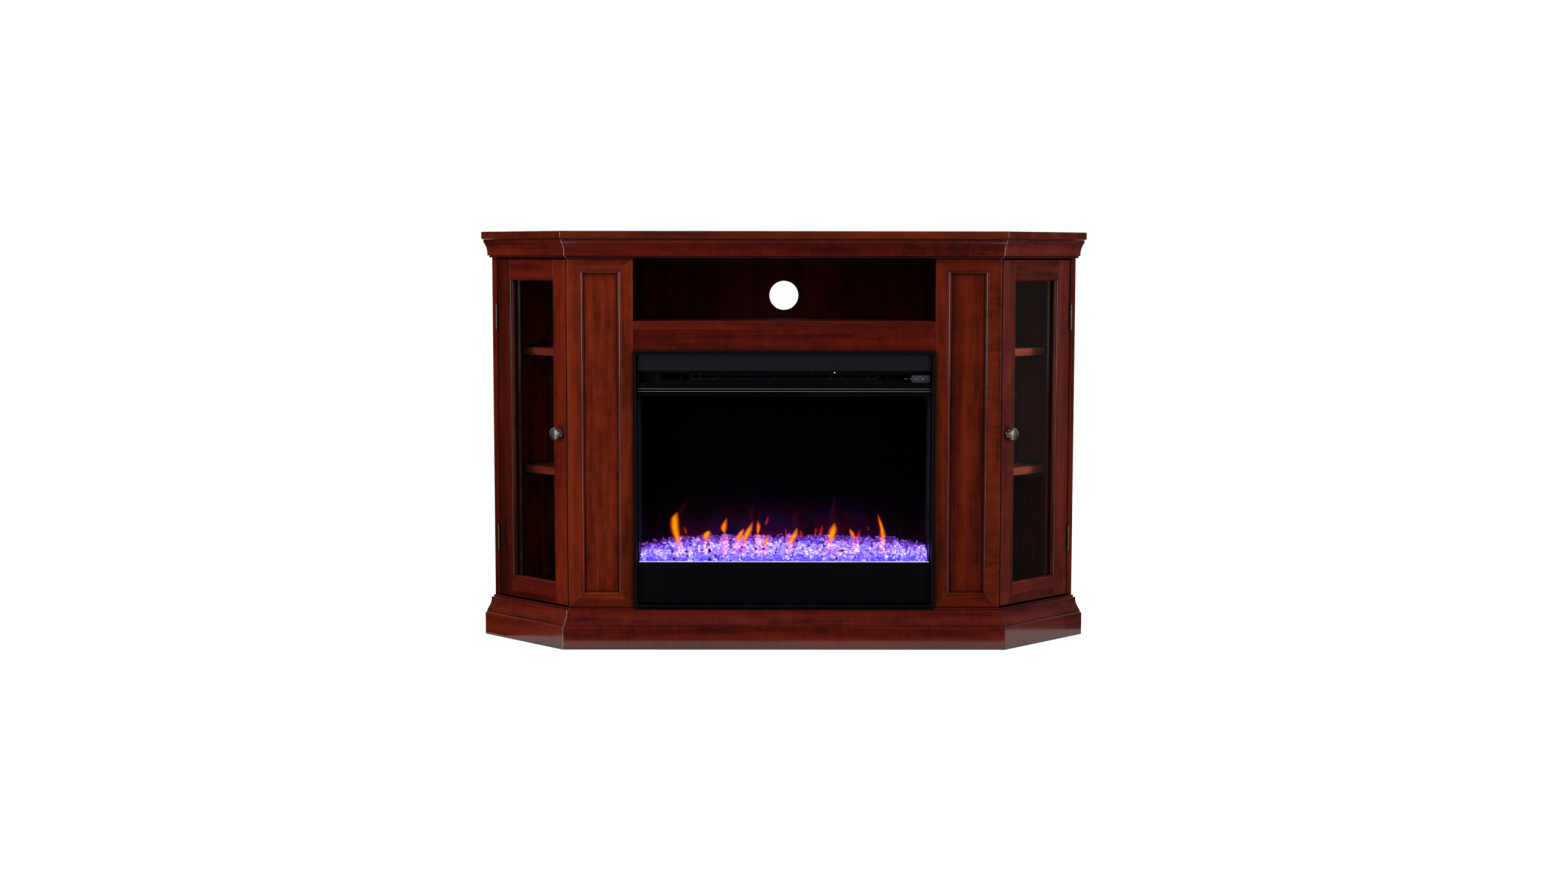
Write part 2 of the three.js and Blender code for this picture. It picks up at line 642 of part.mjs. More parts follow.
function pilaster({ name, hand }) {
  const inner = PILASTER_INNER;
  const width = FRONT_HALF - inner;
  const height = CASE_TOP - CASE_BOTTOM;
  const frame = mitredFrame(width, height, pilasterSection()).translate(inner, 0, CASE_BOTTOM);
  // The stile turns the corner and its outer edge is square to the door face.
  const cornerPost = upright([
    fromWing(-JAMB_RETURN, 0.01),
    fromWing(0, 0),
    fromWing(JAMB_RETURN, 0),
    fromWing(JAMB_RETURN, PILASTER_THICK / 2),
    fromWing(-JAMB_RETURN, PILASTER_THICK / 2),
  ].map(([x, y]) => [x, Math.max(y, 0)]), CASE_BOTTOM, CASE_TOP);
  const jambCut = upright([
    fromWing(JAMB_RETURN, -PILASTER_THICK),
    fromWing(JAMB_RETURN + PILASTER_THICK, -PILASTER_THICK),
    fromWing(JAMB_RETURN + PILASTER_THICK, 2 * PILASTER_THICK),
    fromWing(JAMB_RETURN, 2 * PILASTER_THICK),
  ], CASE_BOTTOM - 1, CASE_TOP + 1);
  piece(cabinet, `pilaster_frame_${name}`, handed(cutBy(joined(frame, cornerPost), jambCut), hand), cherry);

  const inset = PILASTER_STILE - PILASTER_RABBET + GAP;
  const panel = block(
    [inner + inset, inner + width - inset],
    [PILASTER_PANEL_DEPTH, PILASTER_PANEL_DEPTH + PILASTER_PANEL_THICK],
    [CASE_BOTTOM + inset, CASE_TOP - inset],
  );
  piece(cabinet, `pilaster_panel_${name}`, handed(panel, hand), cherry);
}

// Doors --------------------------------------------------------------------------------------------------------
/** Flat stile, moulded inner edge, a groove for the glass, and the rear stop. */
function doorSection() {
  const opening = DOOR_STILE + DOOR_STICKING;
  const grooveBack = DOOR_REVEAL + DOOR_GLASS + 2 * GAP;
  const sticking = sweep(5, (t) => [
    DOOR_STILE + 0.8 + (DOOR_STICKING - 0.8) * Math.sin(Math.PI / 2 * t),
    DOOR_REVEAL - (DOOR_REVEAL - 1) * Math.cos(Math.PI / 2 * t),
  ]);
  return [
    [0, 0],
    [DOOR_STILE, 0],
    ...sticking,
    [opening - DOOR_GROOVE - GAP, DOOR_REVEAL],
    [opening - DOOR_GROOVE - GAP, grooveBack],
    [opening - DOOR_BACK_LIP, grooveBack],
    [opening - DOOR_BACK_LIP, DOOR_THICK],
    [0, DOOR_THICK],
  ];
}

/** Mushroom knob on a small rose; its axis is -Y and its foot is on Y = 0. */
function knobGeometry() {
  const neck = KNOB_RADIUS * 0.34;
  const cap = sweep(7, (t) => [
    KNOB_RADIUS * Math.cos(Math.PI / 2 * t) ** 0.9,
    KNOB_LENGTH * 0.75 + KNOB_LENGTH * 0.25 * Math.sin(Math.PI / 2 * t),
  ]);
  const profile = [
    [0, 0],
    [KNOB_ROSE_RADIUS, 0],
    [KNOB_ROSE_RADIUS, KNOB_LENGTH * 0.06],
    [KNOB_ROSE_RADIUS * 0.93, KNOB_LENGTH * 0.13],
    [KNOB_ROSE_RADIUS * 0.76, KNOB_LENGTH * 0.19],
    [neck, KNOB_LENGTH * 0.24],
    [neck, KNOB_LENGTH * 0.38],
    [KNOB_RADIUS * 0.45, KNOB_LENGTH * 0.46],
    [KNOB_RADIUS * 0.68, KNOB_LENGTH * 0.54],
    [KNOB_RADIUS * 0.91, KNOB_LENGTH * 0.61],
    [KNOB_RADIUS, KNOB_LENGTH * 0.66],
    ...cap.slice(0, -1),
    [0, KNOB_LENGTH],
  ];
  return new THREE.LatheGeometry(profile.map(([r, h]) => new THREE.Vector2(r, h)), 18).rotateX(Math.PI);
}

/** One leaf of a butt hinge, round its own axis at X = 0, Y = 0, from Z = 0 up. */
function hingeLeaf(isCaseLeaf) {
  const pitch = HINGE_HEIGHT / KNUCKLES;
  const inner = GAP;
  const [u0, u1] = isCaseLeaf ? [inner, inner + HINGE_LEAF] : [-inner - HINGE_LEAF, -inner];
  const plateStart = BARREL_OUT + 2 * GAP;
  const parts = [block([u0, u1], [plateStart, plateStart + HINGE_LEAF_DEPTH], [0, HINGE_HEIGHT])];
  for (let n = 0; n < KNUCKLES; n += 1) {
    const isOwn = (n % 2 === 0) === isCaseLeaf;
    if (!isOwn) continue;
    const z0 = n * pitch + (n > 0 ? GAP / 2 : 0);
    const z1 = (n + 1) * pitch - (n < KNUCKLES - 1 ? GAP / 2 : 0);
    parts.push(rod('z', BARREL_RADIUS, z0, z1, [0, 0], 14));
    parts.push(block([u0, u1], [0, plateStart + 1], [z0, z1]));
  }
  if (isCaseLeaf) {
    parts.push(rod('z', PIN_RADIUS, -1, HINGE_HEIGHT + 1, [0, 0], 10));
    return joined(...parts);
  }
  const bore = rod('z', PIN_RADIUS + GAP, -1, HINGE_HEIGHT + 1, [0, 0], 10);
  return cutBy(joined(...parts), bore);
}

function door({ name, hand, group }) {
  const frame = mitredFrame(DOOR_WIDTH, DOOR_HEIGHT, doorSection()).translate(DOOR_START, 0, DOOR_BOTTOM);
  piece(group, `door_frame_${name}`, handed(frame, hand), cherry);

  const glassInset = DOOR_STILE + DOOR_STICKING - DOOR_GROOVE;
  const glass = block(
    [DOOR_START + glassInset, DOOR_END - glassInset],
    [DOOR_REVEAL + GAP, DOOR_REVEAL + GAP + DOOR_GLASS],
    [DOOR_BOTTOM + glassInset, DOOR_TOP - glassInset],
  );
  piece(group, `door_glass_${name}`, handed(glass, hand), clearGlass);

  const knob = piece(group, `knob_${name}`, handed(knobGeometry(), hand), nickel);
  knob.position.set(hand * (DOOR_START + DOOR_STILE / 2), -GAP, (DOOR_BOTTOM + DOOR_TOP) / 2);

  const hingeFeet = { lower: DOOR_BOTTOM + HINGE_INSET, upper: DOOR_TOP - HINGE_INSET - HINGE_HEIGHT };
  for (const [level, foot] of Object.entries(hingeFeet)) {
    for (const leaf of ['case', 'door']) {
      const mesh = piece(group, `hinge_${level}_${leaf}_${name}`, handed(hingeLeaf(leaf === 'case'), hand), brass);
      mesh.position.set(hand * HINGE_U, -BARREL_OUT, foot);
    }
  }
}

/** Magnetic catch on the floor board, behind the door's bottom rail at the knob side. */
function magneticCatch({ name, hand, group }) {
  const start = DOOR_START + CATCH_INSET;
  const front = DOOR_THICK + GAP;
  const body = block([start, start + CATCH_WIDTH], [front, front + CATCH_DEPTH], [0, CATCH_HEIGHT]);
  const groove = block(
    [start + CATCH_WIDTH / 4, start + CATCH_WIDTH * 3 / 4],
    [front - 1, front + CATCH_DEPTH / 4],
    [CATCH_HEIGHT / 3, CATCH_HEIGHT * 2 / 3],
  );
  const housing = cutBy(body, groove).translate(0, 0, CASE_BOTTOM);
  piece(group, `catch_${name}`, handed(housing, hand), blackPlastic);
}

/** Cabinet shelf: front edge parallel to the door, ends against the side panel, back panel and upright. */
function cabinetShelves({ name, hand }) {
  const outer = WING_LENGTH - BOARD - SHELF_PLAY;
  const innerX = PILASTER_INNER + BOARD + SHELF_PLAY;
  const front = PILASTER_THICK + CABINET_SHELF_FRONT_GAP;
  const rear = BACK_FACE - SHELF_PLAY;
  const frontStart = (front - CABINET_SHELF_SETBACK * COS) / SIN;
  const plan = [
    [innerX, front],
    fromWing(frontStart, CABINET_SHELF_SETBACK),
    fromWing(outer, CABINET_SHELF_SETBACK),
    fromWing(outer, wingDepthAt(outer, rear)),
    [innerX, rear],
  ];
  CABINET_SHELF_SHARES.forEach((share, n) => {
    const shelfTop = FLOOR_BOARD_TOP + share * (CROWN_BOTTOM - FLOOR_BOARD_TOP);
    const board = upright(plan, shelfTop - BOARD, shelfTop);
    piece(cabinet, `cabinet_shelf_${n ? 'upper' : 'lower'}_${name}`, handed(board, hand), cherry);
  });
}

// Firebox insert: face -------------------------------------------------------------------------------------------
function surround() {
  const section = [
    [0, SURROUND_EDGE],
    [SURROUND_EDGE, 0],
    [SURROUND_FACE - SURROUND_EDGE, 0],
    [SURROUND_FACE, SURROUND_EDGE],
    [SURROUND_FACE, SURROUND_DEPTH],
    [0, SURROUND_DEPTH],
  ];
  const frame = mitredFrame(2 * INSERT_HALF, INSERT_TOP - INSERT_BOTTOM, section)
    .translate(-INSERT_HALF, -SURROUND_PROUD, INSERT_BOTTOM);
  const skirt = block(
    [-INSERT_HALF, INSERT_HALF],
    [-SURROUND_PROUD, SKIRT_THICK - SURROUND_PROUD],
    [FLOOR_BOARD_TOP - SKIRT_DROP, INSERT_BOTTOM + SURROUND_FACE / 2],
  );
  piece(cabinet, 'firebox_surround', joined(frame, skirt), blackTrim);
}

function facePanels() {
  const upperBack = UPPER_PANEL_FRONT + UPPER_PANEL_THICK;
  const upper = bar([
    [UPPER_PANEL_FRONT, UPPER_PANEL_TOP],
    [UPPER_PANEL_FRONT, UPPER_PANEL_BOTTOM],
    [UPPER_PANEL_FRONT + UPPER_PANEL_LIP_BACK, OUTLET_TOP],
    [upperBack, OUTLET_TOP],
    [upperBack, UPPER_PANEL_TOP],
  ], -FACE_HALF, FACE_HALF);
  piece(cabinet, 'upper_panel', upper, blackSteel);

  const lowerBack = LOWER_PANEL_FRONT + LOWER_PANEL_THICK;
  const lower = bar([
    [LOWER_PANEL_FRONT, LOWER_PANEL_BOTTOM + LOWER_PANEL_EDGE],
    [LOWER_PANEL_FRONT + LOWER_PANEL_EDGE, LOWER_PANEL_BOTTOM],
    [lowerBack, LOWER_PANEL_BOTTOM],
    [lowerBack, LOWER_PANEL_TOP],
    [LOWER_PANEL_FRONT + LOWER_PANEL_EDGE, LOWER_PANEL_TOP],
    [LOWER_PANEL_FRONT, LOWER_PANEL_TOP - LOWER_PANEL_EDGE],
  ], -FACE_HALF, FACE_HALF);
  piece(cabinet, 'lower_panel', lower, blackSteel);
}

/** The bar under the air outlet, with a screw set in a round recess at each end. */
function outletBar() {
  const back = LOWER_BAR_FRONT + BAR_THICK;
  const whole = block([-FACE_HALF, FACE_HALF], [LOWER_BAR_FRONT, back], [LOWER_BAR_BOTTOM, LOWER_BAR_TOP]);
  const screwZ = (LOWER_BAR_BOTTOM + LOWER_BAR_TOP) / 2;
  const recesses = SIDES.map(({ hand }) => {
    const at = [hand * (FACE_HALF - SCREW_INSET), screwZ];
    const from = LOWER_BAR_FRONT - SCREW_RECESS_DEPTH;
    const to = LOWER_BAR_FRONT + SCREW_RECESS_DEPTH;
    return cutBy(
      rod('y', SCREW_RECESS_RADIUS, from, to, at, 18),
      rod('y', SCREW_HEAD_RADIUS, LOWER_BAR_FRONT + SCREW_RECESS_DEPTH / 2, to + 1, at, 14),
    );
  });
  piece(cabinet, 'outlet_bar', cutBy(whole, ...recesses), blackTrim);
}

function glassAndBar() {
  const glassBar = block(
    [-FACE_HALF, FACE_HALF],
    [GLASS_BAR_FRONT, GLASS_BAR_FRONT + BAR_THICK],
    [GLASS_BAR_BOTTOM, GLASS_BAR_TOP],
  );
  piece(cabinet, 'glass_bar', glassBar, blackTrim);
  const glass = block(
    [-FACE_HALF, FACE_HALF],
    [FRONT_GLASS_FRONT, FRONT_GLASS_FRONT + FRONT_GLASS_THICK],
    [GLASS_FOOT, GLASS_HEAD],
  );
  piece(cabinet, 'front_glass', glass, clearGlass);
}

/** A long slot with round ends, as a front outline. */
function slotPath(half, height) {
  const radius = height / 2;
  const path = new THREE.Shape();
  path.absarc(half - radius, SLOT_MIDDLE, radius, -Math.PI / 2, Math.PI / 2);
  path.absarc(radius - half, SLOT_MIDDLE, radius, Math.PI / 2, Math.PI * 1.5);
  return path;
}

/** The plate behind the air outlet: the warm air leaves through its long slot. */
function outletGrille() {
  const half = INSIDE_HALF - GAP;
  const bottom = GLASS_BAR_TOP;
  const shelf = SHELL_TOP - SHEET - GAP;
  const plate = outlineOf([[-half, bottom], [half, bottom], [half, shelf], [-half, shelf]]);
  plate.holes.push(slotPath(SLOT_HALF, SLOT_HEIGHT));
  const rim = slotPath(SLOT_HALF + SLOT_RIM, SLOT_HEIGHT + 2 * SLOT_RIM);
  rim.holes.push(slotPath(SLOT_HALF, SLOT_HEIGHT));
  const body = joined(
    platter(plate, GRILLE_FRONT, GRILLE_FRONT + GRILLE_THICK),
    platter(rim, GRILLE_FRONT - SLOT_RIM_PROUD, GRILLE_FRONT + GRILLE_THICK / 2),
  );
  piece(cabinet, 'outlet_grille', body, blackSteel);
}

/** Control plate at the right end of the outlet, with two sprung push buttons. */
function controls() {
  const right = FACE_HALF - 1;
  const left = right - CONTROL_WIDTH;
  const middle = LOWER_BAR_TOP + GAP + CONTROL_HEIGHT / 2 + 1;
  const back = GRILLE_FRONT - SLOT_RIM_PROUD - GAP;
  const outline = outlineOf([
    [right, middle - CONTROL_HEIGHT / 2],
    [right, middle + CONTROL_HEIGHT / 2],
    [left + CONTROL_POINT, middle + CONTROL_HEIGHT / 2],
    [left, middle],
    [left + CONTROL_POINT, middle - CONTROL_HEIGHT / 2],
  ]);
  const buttons = { button_heat: right - BUTTON_END, button_power: right - BUTTON_END - BUTTON_PITCH };
  const wells = Object.values(buttons).map((x) => rod(
    'y',
    BUTTON_RADIUS + BUTTON_PLAY,
    CONTROL_FRONT - 1,
    CONTROL_FRONT - BUTTON_PROUD + BUTTON_LENGTH + BUTTON_TRAVEL + GAP,
    [x, middle],
    18,
  ));
  piece(cabinet, 'control_plate', cutBy(platter(outline, CONTROL_FRONT, back), ...wells), greyPlastic);
  for (const [name, x] of Object.entries(buttons)) {
    const front = CONTROL_FRONT - BUTTON_PROUD;
    piece(cabinet, name, rod('y', BUTTON_RADIUS, front, front + BUTTON_LENGTH, [x, middle], 18), greyPlastic);
  }
}

// Firebox insert: inside -----------------------------------------------------------------------------------------
/** Steel box, open at the front. */
function shell() {
  const outer = block([-SHELL_HALF, SHELL_HALF], [SHELL_FRONT, SHELL_BACK], [SHELL_BOTTOM, SHELL_TOP]);
  const half = SHELL_HALF - SHEET;
  const hollow = block(
    [-half, half],
    [SHELL_FRONT - 1, SHELL_BACK - SHEET],
    [SHELL_BOTTOM + SHEET, SHELL_TOP - SHEET],
  );
  piece(cabinet, 'firebox_shell', cutBy(outer, hollow), blackSteel);
}

function flameScreen() {
  const screen = block(
    [-INSIDE_HALF, INSIDE_HALF],
    [SCREEN_FRONT, SCREEN_FRONT + SCREEN_THICK],
    [TRAY_TOP - SCREEN_DROP, CASING_BOTTOM - GAP],
  );
  piece(cabinet, 'flame_screen', screen, smokedAcrylic);
}

function crystalTray() {
  const plate = block([-INSIDE_HALF, INSIDE_HALF], [TRAY_FRONT, TRAY_BACK], [TRAY_TOP - TRAY_THICK, TRAY_TOP]);
  piece(cabinet, 'crystal_tray', plate, clearGlass);
}

/** Height of the heap over the tray, across (-1 to 1) and back (0 to 1). */
function heapHeight(across, back) {
  const dome = CRYSTAL_HEAP_END + (CRYSTAL_HEAP - CRYSTAL_HEAP_END) * (1 - across ** 4);
  const lumps = 3 * Math.sin(47 * across + 5 * back) + 2.5 * Math.sin(83 * across - 9 * back);
  return (dome + lumps) * (0.55 + 0.45 * Math.sin(Math.PI / 2 * Math.min(1, 1.6 * back)));
}

/** The bed of crystals as one heap with a flat foot. */
function crystals() {
  const columns = 30;
  const rows = 5;
  const half = INSIDE_HALF - GAP;
  const foot = TRAY_TOP + GAP;
  const at = (i, j, isTop) => {
    const across = (2 * i) / columns - 1;
    const back = j / rows;
    const y = TRAY_FRONT + GAP + back * (TRAY_BACK - TRAY_FRONT - 2 * GAP);
    return new THREE.Vector3(across * half, y, isTop ? foot + heapHeight(across, back) : foot);
  };
  const corners = [];
  const quad = (a, b, c, d) => corners.push(a, b, c, a, c, d);
  for (let i = 0; i < columns; i += 1) {
    for (let j = 0; j < rows; j += 1) {
      quad(at(i, j, true), at(i + 1, j, true), at(i + 1, j + 1, true), at(i, j + 1, true));
      quad(at(i, j, false), at(i, j + 1, false), at(i + 1, j + 1, false), at(i + 1, j, false));
    }
    quad(at(i, 0, false), at(i + 1, 0, false), at(i + 1, 0, true), at(i, 0, true));
    quad(at(i + 1, rows, false), at(i, rows, false), at(i, rows, true), at(i + 1, rows, true));
  }
  for (let j = 0; j < rows; j += 1) {
    quad(at(0, j + 1, false), at(0, j, false), at(0, j, true), at(0, j + 1, true));
    quad(at(columns, j, false), at(columns, j + 1, false), at(columns, j + 1, true), at(columns, j, true));
  }
  piece(cabinet, 'crystals', new THREE.BufferGeometry().setFromPoints(corners), crystal);
}

function ledBoard() {
  const y = (TRAY_FRONT + TRAY_BACK) / 2;
  const boardTop = TRAY_TOP - LED_BOARD_DROP;
  const board = block(
    [-LED_BOARD_HALF, LED_BOARD_HALF],
    [y - LED_BOARD_WIDTH / 2, y + LED_BOARD_WIDTH / 2],
    [boardTop - LED_BOARD_THICK, boardTop],
  );
  const pitch = (2 * LED_BOARD_HALF) / LED_COUNT;
  const leds = Array.from({ length: LED_COUNT }, (_, n) => {
    const x = -LED_BOARD_HALF + (n + 0.5) * pitch;
    const half = LED_SIZE / 2;
    return block([x - half, x + half], [y - half, y + half], [boardTop - LED_BOARD_THICK / 2, boardTop + LED_HEIGHT]);
  });
  piece(cabinet, 'led_board', joined(board, ...leds), circuitBoard);
}

/** Shaft with a spiral of mirror flaps, whose turning throws the flame pattern on the screen. */
function flameRotor() {
  const parts = [rod('x', ROTOR_SHAFT, -ROTOR_HALF - STUB, ROTOR_HALF + STUB, [0, 0], 10)];
  const pitch = (2 * ROTOR_HALF) / ROTOR_STATIONS;
  for (let n = 0; n < ROTOR_STATIONS; n += 1) {
    const x = -ROTOR_HALF + (n + 0.5) * pitch;
    const flap = block(
      [-ROTOR_FLAP_LENGTH / 2, ROTOR_FLAP_LENGTH / 2],
      [-ROTOR_FLAP_REACH, ROTOR_FLAP_REACH],
      [-ROTOR_FLAP_THICK / 2, ROTOR_FLAP_THICK / 2],
    );
    parts.push(flap.rotateX(n * ROTOR_TURN).translate(x, 0, 0));
  }
  const rotor = piece(cabinet, 'flame_rotor', joined(...parts), mirrorFoil);
  rotor.position.set(0, ROTOR_Y, ROTOR_Z);
}

/** Cradle that carries the rotor: a foot strip, an end plate with a bearing at each end, and the motor. */
function rotorCradle() {
  const foot = SHELL_BOTTOM + SHEET + GAP;
  const yRange = [ROTOR_Y - CRADLE_WIDTH / 2, ROTOR_Y + CRADLE_WIDTH / 2];
  const plateX = ROTOR_HALF + STUB / 2;
  const plateTop = ROTOR_Z + CRADLE_WIDTH / 2;
  const strip = block([-plateX - CRADLE_PLATE, plateX + CRADLE_PLATE], yRange, [foot, foot + CRADLE_PLATE]);
  const plates = SIDES.map(({ hand }) => handed(
    block([plateX, plateX + CRADLE_PLATE], yRange, [foot, plateTop]),
    hand,
  ));
  const motor = rod('x', ROTOR_MOTOR_RADIUS, plateX + 1, plateX + CRADLE_PLATE + ROTOR_MOTOR_LENGTH, [ROTOR_Y, ROTOR_Z]);
  const reach = ROTOR_HALF + STUB + BEARING_PLAY;
  const bore = rod('x', ROTOR_SHAFT + BEARING_PLAY, -reach, reach, [ROTOR_Y, ROTOR_Z], 12);
  piece(cabinet, 'rotor_cradle', cutBy(joined(strip, ...plates, motor), bore), heaterMetal);
}

/** Cross-flow wheel: a ring of blades between end discs and a middle disc. */
function fanWheel() {
  const discs = [-FAN_HALF, -FAN_DISC / 2, FAN_HALF - FAN_DISC].map((x) =>
    rod('x', FAN_RADIUS, x, x + FAN_DISC, [0, 0], 24));
  const stubs = SIDES.map(({ hand }) => handed(
    rod('x', FAN_HUB, FAN_HALF - 1, FAN_HALF + FAN_PLAY + STUB, [0, 0], 10),
    hand,
  ));
  const blades = Array.from({ length: FAN_BLADES }, (_, n) => {
    const blade = block(
      [-FAN_HALF + FAN_DISC / 2, FAN_HALF - FAN_DISC / 2],
      [-FAN_BLADE_DEPTH / 2, FAN_BLADE_DEPTH / 2],
      [-FAN_BLADE_THICK / 2, FAN_BLADE_THICK / 2],
    );
    return blade
      .rotateX(0.6)
      .translate(0, FAN_RADIUS - FAN_BLADE_DEPTH / 2 - FAN_DISC, 0)
      .rotateX((2 * Math.PI * n) / FAN_BLADES);
  });
  const wheel = piece(cabinet, 'fan_wheel', joined(...discs, ...stubs, ...blades), blackPlastic);
  wheel.position.set(0, FAN_Y, FAN_Z);
}

/** Fan casing: a through bore for the wheel, a throat to the slot, an intake at the back, and the motor. */
function fanCasing() {
  const half = CASING_HALF;
  const casing = block([-half, half], [CASING_FRONT, CASING_BACK], [CASING_BOTTOM, CASING_TOP]);
  const bore = rod('x', FAN_BORE, -half - 1, half + 1, [FAN_Y, FAN_Z], 28);
  const throat = block(
    [-half - 1, half + 1],
    [CASING_FRONT - 1, FAN_Y],
    [SLOT_MIDDLE - SLOT_HEIGHT / 2, SLOT_MIDDLE + SLOT_HEIGHT / 2],
  );
  const intake = block(
    [-half - 1, half + 1],
    [FAN_Y, CASING_BACK + 1],
    [FAN_Z - INTAKE_HEIGHT / 2, FAN_Z + INTAKE_HEIGHT / 2],
  );
  const ends = SIDES.map(({ hand }) => handed(
    block([half - GAP, half + CASING_SIDE], [CASING_FRONT, CASING_BACK], [CASING_BOTTOM, CASING_TOP]),
    hand,
  ));
  const motorStart = half + CASING_SIDE - 1;
  const motor = rod('x', FAN_MOTOR_RADIUS, motorStart, motorStart + FAN_MOTOR_LENGTH, [FAN_Y, FAN_Z], 20);
  const reach = FAN_HALF + FAN_PLAY + STUB + BEARING_PLAY;
  const shaftBore = rod('x', FAN_HUB + BEARING_PLAY, -reach, reach, [FAN_Y, FAN_Z], 12);
  const body = cutBy(joined(cutBy(casing, bore, throat, intake), ...ends, motor), shaftBore);
  piece(cabinet, 'fan_casing', body, blackSteel);
}

/** Heating element in the throat: two rails and a row of fins. */
function heatingElement() {
  const z0 = SLOT_MIDDLE - SLOT_HEIGHT / 2 + HEATER_PLAY;
  const z1 = SLOT_MIDDLE + SLOT_HEIGHT / 2 - HEATER_PLAY;
  const yRange = [HEATER_FRONT, HEATER_FRONT + HEATER_DEPTH];
  const rail = (z) => block([-HEATER_HALF, HEATER_HALF], yRange, [z, z + 1.2]);
  const pitch = (2 * HEATER_HALF) / HEATER_FINS;
  const fins = Array.from({ length: HEATER_FINS + 1 }, (_, n) => {
    const x = -HEATER_HALF + 0.5 + n * (pitch - 1 / HEATER_FINS);
    return block([x - 0.5, x + 0.5], yRange, [z0, z1]);
  });
  piece(cabinet, 'heating_element', joined(rail(z0), rail(z1 - 1.2), ...fins), heaterMetal);
}

/** Gland in the shell's back for the supply cord. */
function cordGland() {
  const profile = [
    [GLAND_BORE, 0],
    [GLAND_FLANGE, 0],
    [GLAND_FLANGE, GLAND_FLANGE_THICK],
    [GLAND_RADIUS, GLAND_FLANGE_THICK],
    [GLAND_RADIUS * 0.85, GLAND_LENGTH],
    [GLAND_BORE, GLAND_LENGTH],
    [GLAND_BORE, 0],
  ];
  const gland = new THREE.LatheGeometry(profile.map(([r, h]) => new THREE.Vector2(r, h)), 18);
  const mesh = piece(cabinet, 'cord_gland', gland, blackPlastic);
  mesh.position.set(SHELL_HALF - GLAND_SIDE, SHELL_BACK + GAP, SHELL_BOTTOM + GLAND_RISE);
}

// Everything -----------------------------------------------------------------------------------------------------
top();
mouldingRuns('crown', crownSection());
mouldingRuns('base', baseSection());
floorBoard();
backPanel();
mediaNiche();
for (const wing of WINGS) {
  sidePanel(wing);
  innerUpright(wing);
  pilaster(wing);
  door(wing);
  magneticCatch(wing);
  cabinetShelves(wing);
}
surround();
facePanels();
outletBar();
glassAndBar();
outletGrille();
controls();
shell();
flameScreen();
crystalTray();
crystals();
ledBoard();
flameRotor();
rotorCradle();
fanWheel();
fanCasing();
heatingElement();
cordGland();

export default console3d;
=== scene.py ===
"""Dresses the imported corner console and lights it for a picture.

The case is cherry-stained wood with two panelled pilasters and a glazed door at 45 degrees on each side.
Between the pilasters stand an open niche and an electric fireplace insert with a bed of lit crystals.
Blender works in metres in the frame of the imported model. Sizes here are in millimetres: X from the middle,
Y back from the front face of the pilasters, Z up from the floor, unless a comment says otherwise.
"""
from __future__ import annotations

import logging
import random
from collections.abc import Callable, Sequence
from dataclasses import dataclass
from enum import Enum
from math import atan, copysign, cos, pi, radians, sin, sqrt, tan

import bmesh
import bpy
from mathutils import Matrix, Vector


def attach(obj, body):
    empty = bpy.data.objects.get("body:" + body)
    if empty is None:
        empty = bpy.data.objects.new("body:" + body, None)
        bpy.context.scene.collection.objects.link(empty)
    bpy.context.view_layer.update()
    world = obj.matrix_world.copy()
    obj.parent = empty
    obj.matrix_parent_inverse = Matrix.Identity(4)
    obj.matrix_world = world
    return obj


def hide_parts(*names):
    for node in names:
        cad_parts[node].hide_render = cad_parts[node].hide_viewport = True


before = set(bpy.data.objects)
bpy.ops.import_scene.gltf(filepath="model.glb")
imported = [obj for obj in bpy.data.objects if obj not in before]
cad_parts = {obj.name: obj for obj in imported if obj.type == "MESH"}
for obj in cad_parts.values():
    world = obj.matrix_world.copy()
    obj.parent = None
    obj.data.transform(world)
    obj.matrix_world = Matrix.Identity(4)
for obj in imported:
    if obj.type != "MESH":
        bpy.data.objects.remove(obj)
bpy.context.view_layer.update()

LOG = logging.getLogger("console")

# Sizes shared by several pieces, in millimetres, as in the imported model.
MM = 0.001
CENTRE_Y = 113.5
GAP = 0.3
FRONT_HALF = 423.3
WING_LENGTH = 238.0
BODY_DEPTH = 254.0
BOARD = 15.0
FLOOR_BOARD_TOP = 78.7
CROWN_BOTTOM = 767.3
BOARD_TOP = 803.85
CONSOLE_TOP = 819.15
CASE_BOTTOM = FLOOR_BOARD_TOP + GAP
CASE_TOP = CROWN_BOTTOM - GAP
PILASTER_INNER = 295.8
DIAGONAL = sqrt(0.5)
MITRE = tan(pi / 8)

Point = tuple[float, float, float]
Section = list[tuple[float, float]]
Place = Callable[[float, float, float], Vector]
Colour = tuple[float, float, float, float]
Tongue = tuple[Point, ...]
Tree = bpy.types.NodeTree
Socket = bpy.types.NodeSocket


def front_place(x: float, y: float, z: float) -> Vector:
    """A point given in front coordinates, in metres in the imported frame."""
    return Vector((x, y - CENTRE_Y, z)) * MM


class Hand(Enum):
    """Side of the console, as seen from the front."""

    LEFT = -1
    RIGHT = 1

    @property
    def wing_grain(self) -> Grain:
        """Direction of grain along this side's door face."""
        return Grain[f"WING_{self.name}"]

    @property
    def side(self) -> str:
        """The side's name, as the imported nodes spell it."""
        return self.name.lower()

    def front_place(self, x: float, y: float, z: float) -> Vector:
        """A point of this side given in the right side's front coordinates."""
        return front_place(self.value * x, y, z)

    def wing_place(self, along: float, inwards: float, z: float) -> Vector:
        """A point given along this side's door face and in from it."""
        return self.front_place(FRONT_HALF + (along - inwards) * DIAGONAL, (along + inwards) * DIAGONAL, z)


class Axis(Enum):
    """Direction of a turned piece: the coordinate that it follows, and its sign."""

    FORWARD = (1, -1)
    BACKWARD = (1, 1)
    UP = (2, 1)
    DOWN = (2, -1)
    SIDEWAYS = (0, 1)


